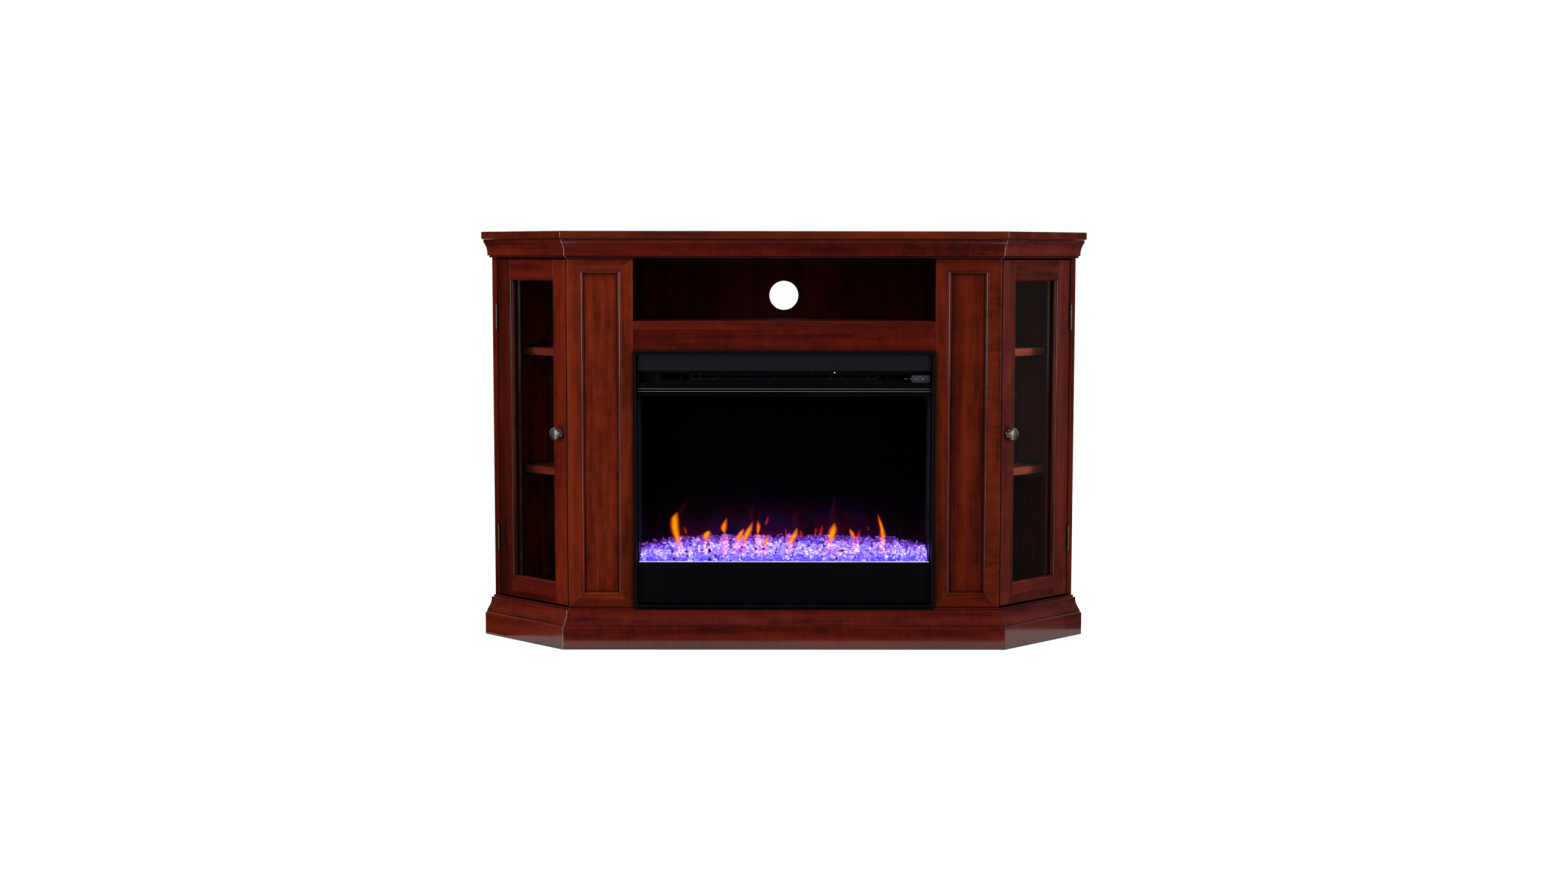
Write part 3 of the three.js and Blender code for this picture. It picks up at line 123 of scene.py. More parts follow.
# Materials
# Settings of a node that mixes two colours, and of one that multiplies them. Input 0 is the share of the
# second colour, and inputs 6 and 7 are the colours.
TINT = {"out": 2, "data_type": "RGBA"}
SHADE = {**TINT, "blend_type": "MULTIPLY"}


def linear(hex_colour: str) -> Colour:
    """Turns an sRGB hex colour into the linear colour that shaders take.

    Args:
        hex_colour: "#rrggbb".

    Returns:
        Red, green, blue and an alpha of 1.
    """
    parts = [int(hex_colour[i:i + 2], 16) / 255 for i in (1, 3, 5)]
    red, green, blue = (c / 12.92 if c <= 0.04045 else ((c + 0.055) / 1.055) ** 2.4 for c in parts)
    return (red, green, blue, 1.0)


def add_node(tree: Tree, kind: str, feeds: dict[str | int, object] | None = None, out: str | int = 0,
             **settings: object) -> Socket | None:
    """Adds a shader node with its settings and links.

    Args:
        tree: The tree that takes the node.
        kind: The node's type, without "ShaderNode".
        feeds: For an input's name or number, an output socket to link or a plain value.
        out: Name or number of the output that is wanted.
        settings: Properties of the node; "stops" fills a colour ramp with (place, colour) pairs.

    Returns:
        The wanted output, or None where the node has no outputs.
    """
    node = tree.nodes.new("ShaderNode" + kind)
    stops = settings.pop("stops", ())
    for name, value in settings.items():
        setattr(node, name, value)
    for n, (place, colour) in enumerate(stops):
        elements = node.color_ramp.elements
        element = elements[0] if n == 0 else elements[-1] if n == len(stops) - 1 else elements.new(place)
        element.position, element.color = place, colour
    for key, value in (feeds or {}).items():
        if isinstance(value, Socket):
            tree.links.new(value, node.inputs[key])
        else:
            node.inputs[key].default_value = value
    return node.outputs[out] if node.outputs else None


def pattern(tree: Tree, vector: Socket, size_mm: Point, **noise: float) -> Socket:
    """Noise whose spots measure size_mm along the vector's axes.

    Args:
        tree: The material's tree.
        vector: Coordinates in metres.
        size_mm: Length of one spot along X, Y and Z.
        noise: Values for the noise node's inputs, by name.

    Returns:
        The noise's value, round 0.5.
    """
    scaled = add_node(tree, "Mapping", {"Vector": vector, "Scale": tuple(1 / (MM * s) for s in size_mm)})
    return add_node(tree, "TexNoise", {"Vector": scaled, "Scale": 1.0, **noise})


def rubbed_arris(tree: Tree, width_mm: float, bend: tuple[float, float], most: float,
                 clear: Socket) -> Socket:
    """Painted highlight along an arris: there the rounded normal leaves the flat one.

    Args:
        tree: The material's tree.
        width_mm: Reach of the highlight from the arris.
        bend: Agreement of the two normals where the highlight starts and where it is full.
        most: Share of the highlight at most, from 0 to 1.
        clear: 1 out in the open, 0 in a recess.

    Returns:
        Share of the painted highlight.
    """
    rounded = add_node(tree, "Bevel", {"Radius": width_mm * MM}, samples=4)
    flat = add_node(tree, "NewGeometry", out="Normal")
    turn = add_node(tree, "VectorMath", {0: rounded, 1: flat}, out="Value", operation="DOT_PRODUCT")
    arris = add_node(tree, "MapRange", {
        "Value": turn, "From Min": bend[0], "From Max": bend[1], "To Max": most})
    return add_node(tree, "Math", {0: arris, 1: clear}, operation="MULTIPLY")


@dataclass(frozen=True)
class Finish:
    """A surface: its material's name and the record's slot that it belongs to."""

    name: str
    slot: str

    def shader(self, tree: Tree) -> Socket:
        """Builds the nodes of the finish.

        Args:
            tree: The material's tree.

        Returns:
            The surface.
        """
        raise NotImplementedError

    def material(self) -> bpy.types.Material:
        """Makes the material on first use.

        Returns:
            The material of this name.
        """
        made = bpy.data.materials.get(self.name)
        if made is None:
            made = bpy.data.materials.new(self.name)
            made.use_nodes = True
            made.node_tree.nodes.clear()
            add_node(made.node_tree, "OutputMaterial", {"Surface": self.shader(made.node_tree)})
        return made


class Grain(Enum):
    """Way the fibres run, as the turn in degrees that brings them onto the pattern's X axis."""

    ACROSS = (0.0, 0.0, 0.0)
    UPRIGHT = (0.0, 90.0, 0.0)
    WING_LEFT = (0.0, 0.0, 45.0)
    WING_RIGHT = (0.0, 0.0, -45.0)


@dataclass(frozen=True)
class CherryStain(Finish):
    """Cherry veneer and solid mouldings: wiped red-brown stain, dark glaze left in the seams, satin lacquer.

    To the eye that is a warm, even red-brown with soft streaks along the grain, fine dark pores, corners
    darkened nearly to black by painted shade, arrises paler from a painted highlight and a little wear,
    and a low, silky gloss.
    """

    grain: Grain
    light: str
    dark: str
    figure: float = 0.12  # share of the cross-grain ripple
    glaze: float = 0.9  # depth of the dark glaze in seams and of the painted shade in corners
    roughness: float = 0.32
    film: float = 0.65  # share of rubbed lacquer over the filled wood
    sheen: float = 0.15
    arris: float = 0.3  # strength of the painted highlight along an arris, with a little sanded-through stain

    def shader(self, tree: Tree) -> Socket:
        """Streaks, ripple and pores in the grain's direction; glaze and painted shade where surfaces meet,
        and a painted highlight on the arrises.

        Args:
            tree: The material's tree.

        Returns:
            The surface.
        """
        place = add_node(tree, "TexCoord", out="Object")
        turned = add_node(tree, "Mapping", {
            "Vector": place, "Rotation": tuple(radians(a) for a in self.grain.value)})
        # Every board is its own cut: the pattern starts elsewhere on each.
        chance = add_node(tree, "ObjectInfo", out="Random")
        start = add_node(tree, "VectorMath", {0: (7.3, 3.1, 5.7), "Scale": chance}, operation="SCALE")
        along = add_node(tree, "VectorMath", {0: turned, 1: start}, operation="ADD")

        # Fibres are 0.1 mm wide: drawn 3 mm wide, as coarse as the picture can show. Growth bands of cherry
        # are 15 to 40 mm wide on flat-cut veneer. The wiped stain lies in smudges 15 to 50 mm long.
        fibres = pattern(tree, along, (130, 3.2, 3.2), Detail=4.0, Roughness=0.6)
        shares = (
            (fibres, 0.38),
            (pattern(tree, along, (420, 26, 26), Detail=2.0, Distortion=0.7), 0.75),
            (pattern(tree, along, (15, 55, 55), Detail=1.0, Distortion=1.2), self.figure),
            (pattern(tree, along, (50, 16, 16), Detail=3.0, Roughness=0.7), 0.45))
        tone: Socket | float = 0.0
        for streaks, share in shares:
            tone = add_node(tree, "Math", {0: streaks, 1: share, 2: tone}, operation="MULTIPLY_ADD")
        middle, spread = 0.5 * sum(share for _, share in shares), 0.17
        tone = add_node(tree, "MapRange", {
            "Value": tone, "From Min": middle - spread, "From Max": middle + spread})
        wood = add_node(tree, "Mix", {0: tone, 6: linear(self.dark), 7: linear(self.light)}, **TINT)
        # Boards differ a little in depth of stain.
        board = add_node(tree, "MapRange", {"Value": chance, "To Min": 0.93, "To Max": 1.06})
        wood = add_node(tree, "Mix", {0: 1.0, 6: wood, 7: board}, **SHADE)

        # Pores are 0.15 mm wide and 5 mm long; drawn 1 mm wide so that they show.
        pores = pattern(tree, along, (9, 1.0, 1.0), Detail=1.0)
        pore = add_node(tree, "MapRange", {"Value": pores, "From Min": 0.63, "From Max": 0.72, "To Max": 0.4})
        # Painted highlight along the arrises, 1.4 mm wide, with a little stain sanded through there.
        open_sky = add_node(tree, "AmbientOcclusion", {"Distance": 5 * MM}, out="AO", samples=6)
        clear = add_node(tree, "MapRange", {"Value": open_sky, "From Min": 0.86, "From Max": 0.97})
        bare = rubbed_arris(tree, 1.4, (0.99, 0.86), self.arris, clear)
        # Painted shade: the wood darkens over the last 12 mm into every corner.
        wide_sky = add_node(tree, "AmbientOcclusion", {"Distance": 16 * MM}, out="AO", samples=5)
        painted_corner_shade = add_node(tree, "MapRange", {
            "Value": wide_sky, "From Min": 0.6, "From Max": 0.97, "To Min": 0.55 * self.glaze, "To Max": 0.0})
        # Dark glaze about 4 mm out from every inner corner and in every seam, which also paints the shade in
        # the gaps.
        seam = add_node(tree, "MapRange", {
            "Value": open_sky, "From Min": 0.5, "From Max": 0.95, "To Min": self.glaze, "To Max": 0.0})
        # Distress marks: pale flecks of 1.5 mm, about one in a palm's width.
        fleck = add_node(tree, "TexVoronoi", {"Vector": along, "Scale": 1 / (75 * MM)}, feature="F1")
        mark = add_node(tree, "MapRange", {
            "Value": fleck, "From Min": 0.012, "From Max": 0.006, "To Max": 0.55})
        # Colours of the pores, the painted arris highlight, the painted corner shade, the glaze with painted
        # gap shade, and the flecks.
        for share, colour in ((pore, "#1a0503"), (bare, "#9a6456"), (painted_corner_shade, "#250603"), (seam, "#0c0201"),
                              (mark, "#b07a62")):
            wood = add_node(tree, "Mix", {0: share, 6: wood, 7: linear(colour)}, **TINT)

        shine = add_node(tree, "MapRange", {
            "Value": fibres, "To Min": self.roughness - 0.05, "To Max": self.roughness + 0.07})
        relief = add_node(tree, "Math", {0: pores, 1: -0.5, 2: fibres}, operation="MULTIPLY_ADD")
        bump = add_node(tree, "Bump", {"Height": relief, "Strength": 0.35, "Distance": 0.08 * MM})
        # Lacquer has an IOR near 1.5. The filled wood scatters widely, and the rubbed film on it is glossier.
        return add_node(tree, "BsdfPrincipled", {
            "Base Color": wood, "Roughness": shine, "IOR": 1.5, "Specular IOR Level": self.sheen,
            "Normal": bump, "Coat Weight": self.film, "Coat Roughness": 0.11, "Coat IOR": 1.5})


@dataclass(frozen=True)
class BareMetal(Finish):
    """Metal left bare, plated or toned: a satin sheen, darker where hands and cloth don't reach."""

    colour: str
    recess: str
    roughness: float
    scratch_mm: Point = (2.0, 2.0, 2.0)
    film: float = 0.0  # share of clear lacquer over the metal

    def shader(self, tree: Tree) -> Socket:
        """Toned recesses and a fine brushed or tumbled scatter in the gloss.

        Args:
            tree: The material's tree.

        Returns:
            The surface.
        """
        place = add_node(tree, "TexCoord", out="Object")
        scatter = pattern(tree, place, self.scratch_mm, Detail=3.0)
        patches = pattern(tree, place, (9, 9, 9), Detail=2.0)
        reach = add_node(tree, "AmbientOcclusion", {"Distance": 4 * MM}, out="AO", samples=6)
        worn = add_node(tree, "Math", {0: patches, 1: 0.5, 2: reach}, operation="MULTIPLY_ADD")
        tone = add_node(tree, "MapRange", {"Value": worn, "From Min": 0.6, "From Max": 1.25})
        colour = add_node(tree, "Mix", {0: tone, 6: linear(self.recess), 7: linear(self.colour)}, **TINT)
        shine = add_node(tree, "MapRange", {
            "Value": scatter, "From Min": 0.3, "From Max": 0.7,
            "To Min": self.roughness - 0.07, "To Max": self.roughness + 0.09})
        bump = add_node(tree, "Bump", {"Height": scatter, "Strength": 0.3, "Distance": 0.03 * MM})
        return add_node(tree, "BsdfPrincipled", {
            "Base Color": colour, "Metallic": 1.0, "Roughness": shine, "Normal": bump,
            "Coat Weight": self.film, "Coat Roughness": 0.12})


@dataclass(frozen=True)
class Coated(Finish):
    """A dense coat or moulding: powder coat on steel, satin paint, painted highlight lines or textured
    plastic.

    To the eye that is a matt, even ground on which the texture's grit shows as fine paler grains.
    """

    colour: str
    grit: str  # colour of the grains
    grit_mm: float
    relief_mm: float
    roughness: float
    edge: str = ""  # colour of the painted highlight along an arris, where there is one
    specular: float = 0.3
    edge_mm: float = 1.6

    def shader(self, tree: Tree) -> Socket:
        """Grains in colour, gloss and height, all of the same grit, painted shade in recesses and a painted
        highlight on the arris.

        Args:
            tree: The material's tree.

        Returns:
            The surface.
        """
        place = add_node(tree, "TexCoord", out="Object")
        grit = pattern(tree, place, (self.grit_mm,) * 3, Detail=3.0, Roughness=0.6)
        grains = add_node(tree, "MapRange", {"Value": grit, "From Min": 0.42, "From Max": 0.68})
        colour = add_node(tree, "Mix", {0: grains, 6: linear(self.colour), 7: linear(self.grit)}, **TINT)
        cloud = pattern(tree, place, (60, 60, 60), Detail=2.0)
        dust = add_node(tree, "MapRange", {"Value": cloud, "To Min": 0.9, "To Max": 1.1})
        colour = add_node(tree, "Mix", {0: 1.0, 6: colour, 7: dust}, **SHADE)
        # Painted shade: recesses and gaps are darkened to black.
        reach = add_node(tree, "AmbientOcclusion", {"Distance": 7 * MM}, out="AO", samples=5)
        unshaded = add_node(tree, "MapRange", {"Value": reach, "From Min": 0.3, "From Max": 0.85})
        colour = add_node(tree, "Mix", {0: unshaded, 6: linear("#000000"), 7: colour}, **TINT)
        if self.edge:
            # Painted highlight along the arris.
            bare = rubbed_arris(tree, self.edge_mm, (0.98, 0.82), 0.9, unshaded)
            colour = add_node(tree, "Mix", {0: bare, 6: colour, 7: linear(self.edge)}, **TINT)
        shine = add_node(tree, "MapRange", {
            "Value": grit, "To Min": self.roughness - 0.08, "To Max": self.roughness + 0.08})
        bump = add_node(tree, "Bump", {"Height": grit, "Strength": 0.6, "Distance": self.relief_mm * MM})
        return add_node(tree, "BsdfPrincipled", {
            "Base Color": colour, "Roughness": shine, "IOR": 1.5, "Specular IOR Level": self.specular,
            "Normal": bump})


@dataclass(frozen=True)
class ClearPane(Finish):
    """Float glass or cast acrylic, polished: see-through with a faint tint and a thin film of dust."""

    tint: str
    ior: float
    specular: float

    def shader(self, tree: Tree) -> Socket:
        """Clear body whose gloss dust dulls a little; lamps shine through it.

        Args:
            tree: The material's tree.

        Returns:
            The surface.
        """
        dust = pattern(tree, add_node(tree, "TexCoord", out="Object"), (45, 45, 45), Detail=4.0)
        shine = add_node(tree, "MapRange", {"Value": dust, "To Min": 0.0, "To Max": 0.03})
        glass = add_node(tree, "BsdfPrincipled", {
            "Base Color": linear(self.tint), "Roughness": shine, "IOR": self.ior,
            "Transmission Weight": 1.0, "Specular IOR Level": self.specular})
        clear = add_node(tree, "BsdfTransparent", {"Color": linear(self.tint)})
        lamp_ray = add_node(tree, "LightPath", out="Is Shadow Ray")
        return add_node(tree, "MixShader", {0: lamp_ray, 1: glass, 2: clear})


@dataclass(frozen=True)
class SmokedScreen(Finish):
    """Smoked cast acrylic, satin at the back: black above, with the lights' violet haze painted low down on
    it.
    """

    foot_mm: float
    head_mm: float

    def shader(self, tree: Tree) -> Socket:
        """Painted glow that fades with height and towards both sides, torn by noise, with painted blue
        reflections.

        Args:
            tree: The material's tree.

        Returns:
            The surface.
        """
        place = add_node(tree, "TexCoord", out="Object")
        height = add_node(tree, "MapRange", {
            "Value": add_node(tree, "SeparateXYZ", {0: place}, out="Z"),
            "From Min": self.head_mm * MM, "From Max": self.foot_mm * MM})
        low = add_node(tree, "Math", {0: height, 1: 2.4}, operation="POWER")
        across = add_node(tree, "Math", {0: add_node(tree, "SeparateXYZ", {0: place}, out="X")},
                          operation="ABSOLUTE")
        middle = add_node(tree, "MapRange", {
            "Value": across, "From Min": 250 * MM, "From Max": 90 * MM, "To Min": 0.12, "To Max": 1.0})
        low = add_node(tree, "Math", {0: low, 1: middle}, operation="MULTIPLY")
        torn = pattern(tree, place, (34, 34, 120), Detail=3.0, Distortion=0.8)
        haze = add_node(tree, "MapRange", {
            "Value": torn, "From Min": 0.35, "From Max": 0.7, "To Min": 0.25, "To Max": 1.0})
        glow = add_node(tree, "Math", {0: low, 1: haze}, operation="MULTIPLY")
        blue = pattern(tree, place, (70, 70, 50), Detail=1.0)
        colour = add_node(tree, "ValToRGB", {0: blue}, stops=(
            (0.42, linear("#5c0a40")), (0.52, linear("#520c5c")), (0.66, linear("#301278"))))
        # Painted reflections of the crystals' facets: each point of light is about 2 mm across on the screen.
        spark = add_node(tree, "TexVoronoi", {"Vector": place, "Scale": 1 / (14 * MM)}, feature="F1")
        dot = add_node(tree, "MapRange", {"Value": spark, "From Min": 0.13, "From Max": 0.05})
        dots = add_node(tree, "Math", {0: dot, 1: low}, operation="MULTIPLY")
        lit = add_node(tree, "Mix", {0: dots, 6: colour, 7: linear("#3a52ff")}, **TINT)
        total = add_node(tree, "Math", {0: dots, 1: 0.7, 2: glow}, operation="MULTIPLY_ADD")
        return add_node(tree, "BsdfPrincipled", {
            "Base Color": linear("#020103"), "Roughness": 0.22, "IOR": 1.49, "Specular IOR Level": 0.15,
            "Emission Color": lit, "Emission Strength": total})


@dataclass(frozen=True)
class LitFacets(Finish):
    """Clear acrylic, tumbled into faceted chunks over violet lights: each facet shows its own patch of
    painted glow.
    """

    def shader(self, tree: Tree) -> Socket:
        """Light by facet, broken up inside each by the facets behind it, which are 3 to 5 mm across.

        Args:
            tree: The material's tree.

        Returns:
            The surface.
        """
        place = add_node(tree, "TexCoord", out="Object")
        glow = add_node(tree, "Attribute", out="Color", attribute_name="glow")
        behind = add_node(tree, "TexVoronoi", {"Vector": place, "Scale": 1 / (4 * MM)}, out="Color",
                          feature="F1")
        patch = add_node(tree, "SeparateColor", {0: behind})
        level = add_node(tree, "MapRange", {"Value": patch, "To Min": 0.25, "To Max": 1.6})
        light = add_node(tree, "Mix", {0: 1.0, 6: glow, 7: level}, **SHADE)
        # The facets' glow is painted light: emission for the lights shining up through the chunks.
        return add_node(tree, "BsdfPrincipled", {
            "Base Color": linear("#7468c8"), "Roughness": 0.05, "IOR": 1.49, "Transmission Weight": 0.7,
            "Emission Color": light, "Emission Strength": 0.8})


@dataclass(frozen=True)
class FlamePicture(Finish):
    """Light thrown on the screen: no surface of its own, only colour that thins out at the rim."""

    def shader(self, tree: Tree) -> Socket:
        """Colour and cover come from the tongues' own mesh.

        Args:
            tree: The material's tree.

        Returns:
            The surface.
        """
        colour = add_node(tree, "Attribute", out="Color", attribute_name="glow")
        flicker = pattern(tree, add_node(tree, "TexCoord", out="Object"), (4, 4, 16), Detail=2.0,
                          Distortion=0.8)
        thin = add_node(tree, "MapRange", {
            "Value": flicker, "From Min": 0.3, "From Max": 0.52, "To Min": 0.8, "To Max": 1.0})
        cover = add_node(tree, "Math", {0: colour.node.outputs["Alpha"], 1: thin}, operation="MULTIPLY")
        return add_node(tree, "BsdfPrincipled", {
            "Base Color": linear("#000000"), "Roughness": 1.0, "Specular IOR Level": 0.0,
            "Emission Color": colour, "Emission Strength": 1.15, "Alpha": cover})


@dataclass(frozen=True)
class Lamp(Finish):
    """A small lens that is lit from inside, or a strip with a painted glow."""

    colour: str
    strength: float

    def shader(self, tree: Tree) -> Socket:
        """Glow that is uneven along the piece, as from single lamps 45 mm apart.

        Args:
            tree: The material's tree.

        Returns:
            The surface.
        """
        uneven = pattern(tree, add_node(tree, "TexCoord", out="Object"), (40, 40, 40), Detail=2.0)
        level = add_node(tree, "MapRange", {
            "Value": uneven, "From Min": 0.3, "From Max": 0.7,
            "To Min": 0.5 * self.strength, "To Max": 1.4 * self.strength})
        return add_node(tree, "BsdfPrincipled", {
            "Base Color": linear("#c8c4d4"), "Roughness": 0.25, "IOR": 1.49,
            "Emission Color": linear(self.colour), "Emission Strength": level})


@dataclass(frozen=True)
class SolderMask(Finish):
    """White solder mask over fibreglass, printed and cured: matt white with faint copper tracks below."""

    def shader(self, tree: Tree) -> Socket:
        """Tracks 3 mm apart, as a slightly darker tone of the white, under a painted violet glow.

        Args:
            tree: The material's tree.

        Returns:
            The surface.
        """
        tracks = add_node(tree, "TexBrick", {
            "Vector": add_node(tree, "TexCoord", out="Object"), "Color1": linear("#e9e8e2"),
            "Color2": linear("#dedcd2"), "Mortar": linear("#c9c6b8"), "Scale": 1 / (30 * MM),
            "Mortar Size": 0.03})
        # The board glows violet all over: a painted glow that stands for the light of its LEDs.
        return add_node(tree, "BsdfPrincipled", {
            "Base Color": tracks, "Roughness": 0.5, "IOR": 1.5,
            "Emission Color": linear("#8a60ff"), "Emission Strength": 1.2})


@dataclass(frozen=True)
class Cloth(Finish):
    """Cotton cloth of a studio card, woven and dyed black: it gives back nothing but stray light."""

    glow: float

    def shader(self, tree: Tree) -> Socket:
        """A dull weave with a glow of its own.

        Args:
            tree: The material's tree.

        Returns:
            The surface.
        """
        weave = pattern(tree, add_node(tree, "TexCoord", out="Object"), (2, 2, 2), Detail=1.0)
        tone = add_node(tree, "Mix", {0: weave, 6: linear("#050505"), 7: linear("#0c0c0c")}, **TINT)
        return add_node(tree, "BsdfPrincipled", {
            "Base Color": tone, "Roughness": 1.0, "Specular IOR Level": 0.0,
            "Emission Color": linear("#ffffff"), "Emission Strength": self.glow})


@dataclass(frozen=True)
class WhiteVinyl(Finish):
    """Matt white vinyl floor, calendered: to the eye as white as its surroundings, with shadows on it."""

    def shader(self, tree: Tree) -> Socket:
        """A faint mottle, lifted to white for the eye, with a painted contact shadow right under the plinth's
        foot.

        Args:
            tree: The material's tree.

        Returns:
            The surface.
        """
        mottle = pattern(tree, add_node(tree, "TexCoord", out="Object"), (400, 400, 400), Detail=2.0)
        tone = add_node(tree, "Mix", {0: mottle, 6: linear("#b4b4b4"), 7: linear("#bcbcbc")}, **TINT)
        lift = add_node(tree, "MapRange", {"Value": seen(tree), "To Min": 0.0, "To Max": 0.92})
        # Painted contact shadow: the floor's lift dims right under the plinth.
        painted_contact_shadow = add_node(tree, "AmbientOcclusion", {"Distance": 4 * MM}, out="AO", samples=4)
        painted_contact_shadow = add_node(tree, "Math", {0: painted_contact_shadow, 1: 3.0}, operation="POWER")
        lift = add_node(tree, "Math", {0: lift, 1: painted_contact_shadow}, operation="MULTIPLY")
        return add_node(tree, "BsdfPrincipled", {
            "Base Color": tone, "Roughness": 0.9, "Specular IOR Level": 0.0,
            "Emission Color": linear("#ffffff"), "Emission Strength": lift})


def seen(tree: Tree) -> Socket:
    """Tells the eye's rays, also by way of gloss or glass, from others.

    Args:
        tree: The tree that takes the nodes.

    Returns:
        1 for the eye's rays and 0 for others.
    """
    path = add_node(tree, "LightPath").node.outputs
    either = add_node(tree, "Math", {0: path["Is Camera Ray"], 1: path["Is Glossy Ray"]}, operation="MAXIMUM")
    return add_node(tree, "Math", {0: either, 1: path["Is Transmission Ray"]}, operation="MAXIMUM")


class Stain(Enum):
    """Colour of a group of boards, as light and dark hex colours: stain, and for some groups painted light
    and shade as well.
    """

    LEFT_PILASTER = ("#822a0a", "#481203")
    RIGHT_PILASTER = ("#702206", "#3c0f03")
    FIGURED = ("#6c2407", "#3e1204")
    MOULDING = ("#6a1c0a", "#3e0c06")
    LEFT_MOULDING = LEFT_CROWN = LEFT_BASE = ("#7e2912", "#49130a")
    # The right-hand stains are greyer than the left ones: stain, and a painted sheen for the right wing's
    # pale gloss.
    RIGHT_MOULDING = RIGHT_CROWN = ("#822e20", "#4e1b13")
    RIGHT_BASE = ("#6a241a", "#3e140e")
    DOOR = LEFT_DOOR = ("#7a220f", "#460f08")
    # The left door's hinge stile is darker and its knob stile lighter: painted shade that grows towards the
    # left wing's outer end.
    LEFT_DOOR_HINGE = ("#601a0b", "#340b05")
    LEFT_DOOR_KNOB = ("#88290f", "#521508")
    RIGHT_DOOR = RIGHT_DOOR_HINGE = RIGHT_DOOR_KNOB = ("#7a2c20", "#461711")
    # The right shelf's stain is lighter than the left one's: painted light where the lamps reach the right
    # shelf.
    LEFT_SHELF = ("#82301f", "#602014")
    RIGHT_SHELF = ("#b0523f", "#8a3c2c")
    NICHE_FLOOR = ("#6a2010", "#46120a")
    # Near-black inside stains: stain with painted shade inside the case; the back panel's redder copy is
    # painted light in the niche.
    INSIDE = ("#1c0303", "#0e0101")
    BACK = ("#3a0407", "#1e0203")
    TOP = ("#702410", "#4a160a")

    @classmethod
    def of(cls, hand: Hand, group: str) -> Stain:
        """The stain of a group of boards on one side."""
        return cls[f"{hand.name}_{group.upper()}"]


def cherry(stain: Stain, grain: Grain, slot: str = "cherry", **changes: float) -> CherryStain:
    """A depth of cherry stain in one direction of grain."""
    name = f"cherry_stain_{stain.name.lower()}_{grain.name.lower()}"
    return CherryStain(name, slot, grain, *stain.value, **changes)


def moulded_cherry(stain: Stain, grain: Grain) -> CherryStain:
    """Stain on long milled lengths, whose ripple shows more and whose glaze is thinner."""
    return cherry(stain, grain, figure=0.25, glaze=0.6)


def inside_cherry(grain: Grain, stain: Stain = Stain.INSIDE) -> CherryStain:
    """Thin stain on the inside faces, without a rubbed film."""
    return cherry(stain, grain, "cherry_inside", roughness=0.55, film=0.0, sheen=0.06)


# Antique nickel: plated zinc casting, toned and tumbled. Warm grey with a soft sheen.
NICKEL = BareMetal("antique_nickel_plated_tumbled", "nickel", colour="#94867a", recess="#1e1813",
                   roughness=0.46, film=0.8)
# Antique brass: steel strip, brass plated, chemically darkened and relieved. Brown-gold, dull.
BRASS = BareMetal("antique_brass_plated_relieved", "brass", colour="#6e5c49", recess="#16110d",
                  roughness=0.4)
# Mirror foil: vacuum-metallised film on a steel shaft. Bright, with a slightly wavy gloss.
FOIL = BareMetal("metallised_film", "mirror_foil", colour="#d9d9de", recess="#8c8c93", roughness=0.12,
                 scratch_mm=(14.0, 14.0, 14.0))
# Mill-finish aluminium sheet, toned by heat: rolling lines 0.2 mm apart, drawn 0.8 mm.
SHEET = BareMetal("mill_finish_aluminium_sheet", "heater_metal", colour="#55565a", recess="#26272a",
                  roughness=0.45, scratch_mm=(40.0, 0.8, 0.8))
# Zinc-plated screw: bright blue-grey.
ZINC = BareMetal("zinc_plated_steel", "nickel", colour="#a9adb3", recess="#3d4044", roughness=0.32)
# Polyester powder coat, sprayed and baked: grit of 0.4 mm, drawn 1.6 mm so that it shows. Blue-black, matt.
# Its pale arrises are a painted highlight.
POWDER = Coated("powder_coat_on_steel_baked", "black_steel", colour="#0a0a10", grit="#1b1b28", grit_mm=1.6,
                relief_mm=0.12, roughness=0.45, edge="#40414c", specular=0.2)
# The lower panel and the slot's plate carry a blacker batch of it.
# Its arrises carry a fainter painted highlight.
DEEP_POWDER = Coated("deep_powder_coat_on_steel_baked", "black_steel", colour="#020203", grit="#09090e",
                     grit_mm=1.6, relief_mm=0.12, roughness=0.45, edge="#1c1d24", specular=0.1)
# Satin paint on the bars, sprayed: deep black, with a fine pale painted highlight along each arris.
TRIM = Coated("satin_paint_on_trim_sprayed", "black_trim", colour="#040407", grit="#08080d", grit_mm=1.0,
              relief_mm=0.02, roughness=0.34, edge="#2e2f38", specular=0.1, edge_mm=0.8)
# The surround's arrises carry a narrower, brighter painted highlight.
SURROUND_TRIM = Coated("satin_paint_on_folded_steel_sprayed", "black_trim", colour="#040407",
                       grit="#08080d", grit_mm=1.0, relief_mm=0.02, roughness=0.34, edge="#565a6c",
                       specular=0.1, edge_mm=0.7)
# The slot's rolled edge is painted charcoal, a little paler than the trim: a faint painted highlight.
ROLLED_TRIM = Coated("satin_paint_on_rolled_edge_sprayed", "black_trim", colour="#0e0e12", grit="#18181e",
                     grit_mm=1.0, relief_mm=0.02, roughness=0.4, specular=0.1)
# Along two arrises of the bars, a line of pale grey paint: a painted highlight.
PALE_LINE_PAINT = Coated("satin_paint_burnished", "black_trim", colour="#74767f", grit="#8c8e98", grit_mm=2.0,
                   relief_mm=0.01, roughness=0.35)
# Inner faces of the firebox: dark grey gloss paint, which catches the violet light beside the crystals.
FIREBOX_PAINT = Coated("gloss_paint_on_steel_sprayed", "black_steel", colour="#24222a", grit="#2c2a34",
                       grit_mm=0.9, relief_mm=0.005, roughness=0.3, specular=0.5)
